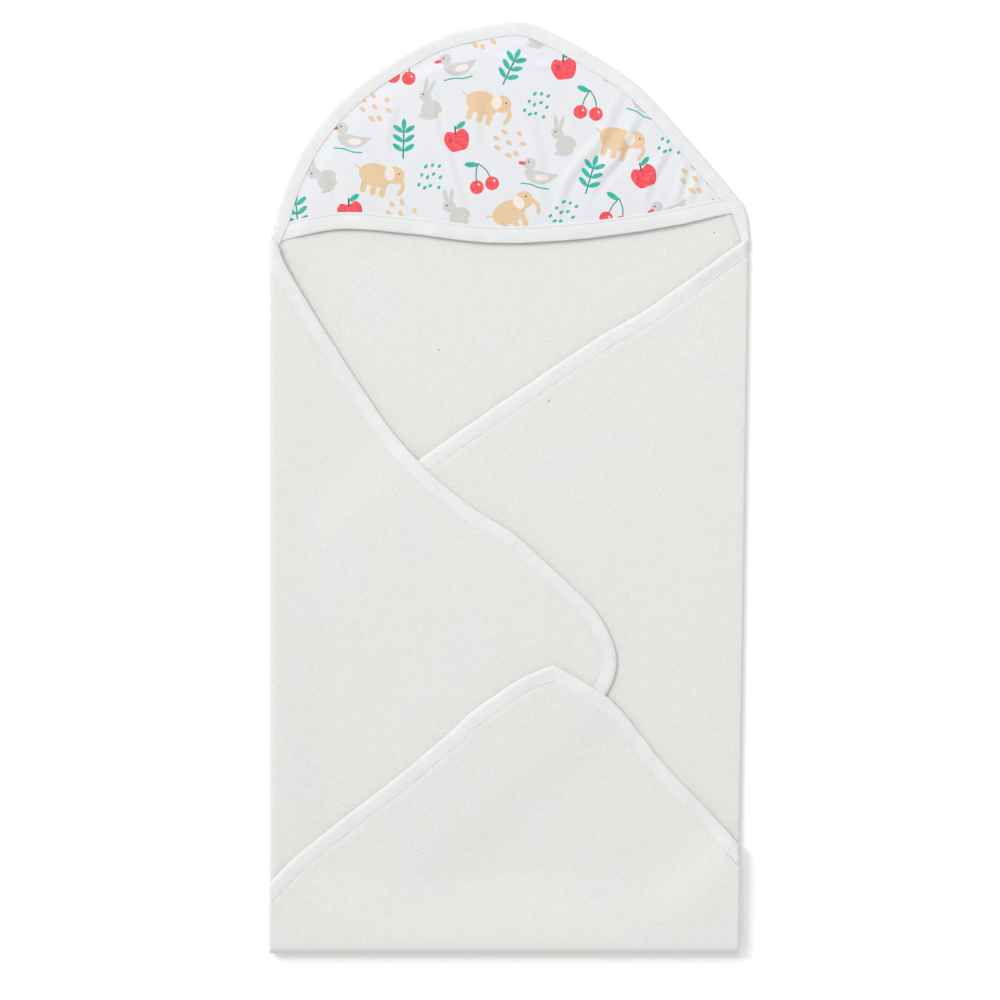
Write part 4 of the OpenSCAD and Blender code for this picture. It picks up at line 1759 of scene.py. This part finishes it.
@dataclass
class Hood:
    """The printed jersey panel over the top corner, with its white front band."""

    towel: FoldedTowel
    finishes: Finishes
    stitches: StitchTree
    rim: float = 8 * MM
    jersey: float = 0.9 * MM
    puff: float = 3.4 * MM
    band: float = 14.7 * MM
    spacing: float = 2.5 * MM
    folds: tuple = (
        (1.3, 4.5, ((100, 345), (90, 320), (80, 297), (60, 274), (47, 253), (43, 225))),
        (1.5, 4.0, ((114, 322), (97, 290), (91, 278), (79, 265), (70, 248))),
        (1.2, 3.6, ((140, 298), (134, 284), (124, 265), (117, 243))),
        (1.2, 3.4, ((154, 281), (150, 265), (144, 243))),
        (1.0, 3.4, ((165, 277), (161, 260), (156, 244))),
        (1.1, 3.4, ((-14, 373), (8, 372), (27, 365), (50, 368))),
        (0.9, 3.0, ((-64, 342), (-62, 310), (-52, 285), (-43, 257), (-34, 224))),
        (1.0, 4.5, ((-133, 307), (-119, 283), (-103, 260), (-91, 245), (-86, 233))),
        (1.0, 4.2, ((-156, 291), (-140, 270), (-125, 253), (-110, 238))),
        (0.8, 3.6, ((-163, 277), (-155, 256), (-151, 243))),
        (0.9, 5.0, ((-84, 353), (-59, 363), (-28, 359))),
        (0.8, 5.0, ((18, 320), (26, 290), (30, 262), (34, 232))),
        (0.7, 5.5, ((-20, 345), (-26, 312), (-24, 290))),
        (0.7, 4.0, ((-96, 330), (-104, 300), (-100, 282))),
        (0.8, 4.5, ((52, 318), (64, 300), (100, 262))),
    )

    def height(self, xy: Array) -> Array:
        """The middle of the hood's cloth above the floor, with its puff and wrinkles."""
        t = self.towel
        seam = distance_to(t.crown_edge, xy)
        mouth = distance_to(t.mouth_edge, xy)
        under = t.cloth.thick / 2 + 0.65 * MM + self.jersey / 2
        climb = ease(t.cloth.bind, 2.1 * t.cloth.bind, seam) * 0.8 * MM
        rise = self.puff * (1 - np.exp(-np.maximum(seam - t.cloth.bind, 0) / (30 * MM)))
        rise *= 1 - 0.5 * np.exp(-((mouth / (26 * MM)) ** 2))
        return under + climb + rise + self.wrinkles(xy, seam)

    def wrinkles(self, xy: Array, seam: Array) -> Array:
        """Soft folds: each is a low ridge along one side of a line and a dip along the other."""
        fade = ease(self.rim, 22 * MM, seam)
        total = 0.2 * MM * ripple(xy, 0.05, 9)
        for size, width, points in self.folds:
            line = smooth_path(mm(*points), 4 * MM)
            away = distance_to(line, xy)
            near = np.flatnonzero(away < 4 * width * MM)
            nearest = np.linalg.norm(xy[near, None] - line[None], axis=2).argmin(axis=1)
            gap = xy[near] - line[nearest]
            side = np.sign((gap * right_normals(line)[nearest]).sum(axis=1))
            run = nearest / (len(line) - 1)
            taper = np.sin(np.clip(run, 0.02, 0.98) * math.pi) ** 0.6
            d = side * away[near] / (width * MM)
            ridge = np.exp(-((d - 0.8) ** 2)) - 0.75 * np.exp(-((d + 0.8) ** 2))
            total[near] += size * MM * ridge * taper
        return total * fade

    def share(self, points: Array) -> Array:
        """How far each point lifts when the hood opens: nothing at the seam, all at the mouth."""
        seam = distance_to(self.towel.crown_edge, points[:, :2])
        return ease(self.towel.cloth.bind, 175 * MM, seam) ** 0.8

    def build(self) -> list[bpy.types.Object]:
        """Makes the panel, the band and the band's stitches."""
        t = self.towel
        leaf = Leaf("hood", None, self.height)
        crown = t.crown_edge
        side = right_normals(crown)
        rim = crown + side * self.rim
        mouth = t.mouth_edge
        mouth_side = right_normals(mouth)
        front = mouth - mouth_side * (self.band - 2 * MM)
        rim = rim[rim[:, 1] > 0.222]
        front = front[(front[:, 0] > rim[0, 0] + 2 * MM) & (front[:, 0] < rim[-1, 0] - 2 * MM)]
        outline = np.vstack([rim, front[::-1]])
        shapes = [s for s in hood_pattern() if inside(outline, s.outline).any()]
        lines = [s.outline for s in shapes]
        uv, tris = triangulate(outline, self.spacing, lines)
        panel = shell("hood_panel_cloth", leaf, uv, tris, self.jersey / 2, self.jersey / 2)
        self.colour(panel, uv, tris, shapes)
        panel.data.materials.append(self.finishes.printed)
        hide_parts("hood_panel")
        band = self.front_band(leaf, mouth)
        row = leaf.place(mouth - mouth_side * (self.band - 2 * MM), self.jersey / 2 + 0.55 * MM)
        thread = self.stitches.sew("hood_band_stitches", [row], self.finishes.thread)
        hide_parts("hood_band_stitching")
        for piece in (panel, band, thread):
            bend_between(piece, self.share(points_of(piece)))
        LOG.info("hood: panel %d faces, %d patches of ink", len(panel.data.polygons), len(shapes))
        return [panel, band, thread]

    def colour(self, panel: bpy.types.Object, uv: Array, tris: Array, shapes: list[Shape]) -> None:
        """Gives each corner of the panel's upper face the ink that is printed there."""
        middles = uv[tris].mean(axis=1)
        colours = np.tile(np.array(Ink.GROUND.value), (len(tris), 1))
        for shape in shapes:
            low, high = shape.outline.min(axis=0), shape.outline.max(axis=0)
            near = np.flatnonzero(((middles >= low) & (middles <= high)).all(axis=1))
            hit = near[inside(shape.outline, middles[near])]
            colours[hit] = shape.ink.value
        mesh = panel.data
        layer = mesh.color_attributes.new("Print", "FLOAT_COLOR", "CORNER")
        out = np.tile(np.array(Ink.GROUND.value), (len(mesh.loops), 1))
        for index, polygon in enumerate(mesh.polygons):
            if index < len(tris):
                for k in polygon.loop_indices:
                    out[k] = colours[index]
        layer.data.foreach_set("color", out.astype(np.float32).ravel())

    def front_band(self, leaf: Leaf, mouth: Array) -> bpy.types.Object:
        """The folded white band along the hood's front edge."""
        w, t = self.band, 0.75 * MM
        top = self.jersey / 2
        profile = np.array(
            [
                (0.0, 0.1 * MM), (0.35 * MM, t + 0.05 * MM), (1.4 * MM, t + 0.3 * MM),
                (w * 0.5, t + 0.25 * MM), (w - 3.0 * MM, t + 0.12 * MM), (w - 2.0 * MM, t - 0.1 * MM),
                (w - 0.8 * MM, t + 0.1 * MM), (w - 0.1 * MM, top + 0.2 * MM), (w, top - 0.1 * MM),
                (w, -top), (w * 0.5, -t), (1.4 * MM, -t), (0.35 * MM, -t + 0.2 * MM),
            ]
        )
        path = resample(mouth, 2.6 * MM)[::-1]
        def press(uv: Array, across: Array, lift: Array) -> Array:
            """Presses the band flat towards its two ends."""
            return lift * (0.3 + 0.7 * ease(2 * MM, 26 * MM, distance_to(self.towel.crown_edge, uv)))

        piece = sweep("hood_front_band_cloth", leaf, path, profile, 0.10, 51, shape=press)
        piece.data.materials.append(self.finishes.jersey)
        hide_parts("hood_front_band")
        return piece


# ---------------------------------------------------------------- studio


@dataclass(frozen=True)
class Studio:
    """The floor, the lights and the camera, which looks straight down."""

    centre: Point = (-9.06 * MM, -11.2 * MM)
    across: float = 862.5 * MM
    lens: float = 100.0
    sensor: float = 36.0

    def build(self) -> None:
        """Makes the scene round the towel."""
        self.floor()
        self.lights()
        self.camera()

    def floor(self) -> None:
        """A wide pale floor."""
        bpy.ops.mesh.primitive_plane_add(size=12, location=(0, 0, -0.2 * MM))
        floor = bpy.context.object
        floor.name = "studio_floor"
        material, shader = blank_material("Studio floor")
        shader.inputs["Base Color"].default_value = linear(252, 252, 252)
        shader.inputs["Roughness"].default_value = 1.0
        shader.inputs["Specular IOR Level"].default_value = 0.0
        floor.data.materials.append(material)

    def lights(self) -> None:
        """Even light all round, a soft sun from the upper left and a lamp over the hood."""
        world = bpy.data.worlds.new("Studio light")
        bpy.context.scene.world = world
        world.use_nodes = True
        back = world.node_tree.nodes["Background"]
        back.inputs["Color"].default_value = (1.0, 1.0, 1.0, 1.0)
        back.inputs["Strength"].default_value = 0.74
        sun = bpy.data.lights.new("sun", "SUN")
        sun.energy, sun.angle = 1.35, math.radians(24)
        self.aim(sun, (-1.5, 1.2, 1.5))
        lamp = bpy.data.lights.new("lamp", "AREA")
        lamp.size, lamp.energy = 1.4, 9.0
        self.aim(lamp, (-0.2, 1.2, 1.7))

    def aim(self, light: bpy.types.Light, place: tuple[float, float, float]) -> None:
        """Puts a light at a place, pointed at the middle of the towel."""
        lamp = bpy.data.objects.new(light.name, light)
        lamp.location = place
        lamp.rotation_euler = (-Vector(place)).to_track_quat("-Z", "Y").to_euler()
        bpy.context.collection.objects.link(lamp)

    def camera(self) -> None:
        """A long lens straight above the towel."""
        data = bpy.data.cameras.new("camera")
        data.lens, data.sensor_width = self.lens, self.sensor
        camera = bpy.data.objects.new("camera", data)
        height = self.across / self.sensor * self.lens
        camera.location = (*self.centre, height)
        bpy.context.collection.objects.link(camera)
        bpy.context.scene.camera = camera
        bpy.context.scene.view_settings.view_transform = "Standard"


FLAP_NODES = {
    "left": {
        "terry": ("left_flap", "left_fold_turn"), "binding": ("left_binding",),
        "stitching": ("left_stitching",),
    },
    "right": {
        "terry": ("right_flap", "right_fold_turn"), "binding": ("right_binding",),
        "stitching": ("right_stitching",),
    },
    "bottom": {
        "terry": ("bottom_flap", "bottom_fold_turn"),
        "binding": ("bottom_binding_left", "bottom_binding_right"),
        "stitching": ("bottom_stitching",),
    },
    "left_tip": {"terry": ("left_tip", "left_tip_turn"), "binding": ("left_tip_binding",)},
    "right_tip": {"terry": ("right_tip", "right_tip_turn"), "binding": ("right_tip_binding",)},
}


def main() -> None:
    """Builds the towel and its studio."""
    logging.basicConfig(level=logging.INFO, format="%(name)s: %(message)s")
    Studio().build()
    towel = FoldedTowel.from_frame()
    finishes = Finishes.build()
    stitches = StitchTree()
    Centre(towel, finishes, stitches).build()
    for name, nodes in FLAP_NODES.items():
        BoundLeaf(towel, finishes, stitches, name, nodes).build()
    Hood(towel, finishes, stitches).build()


if __name__ == "__main__":
    main()
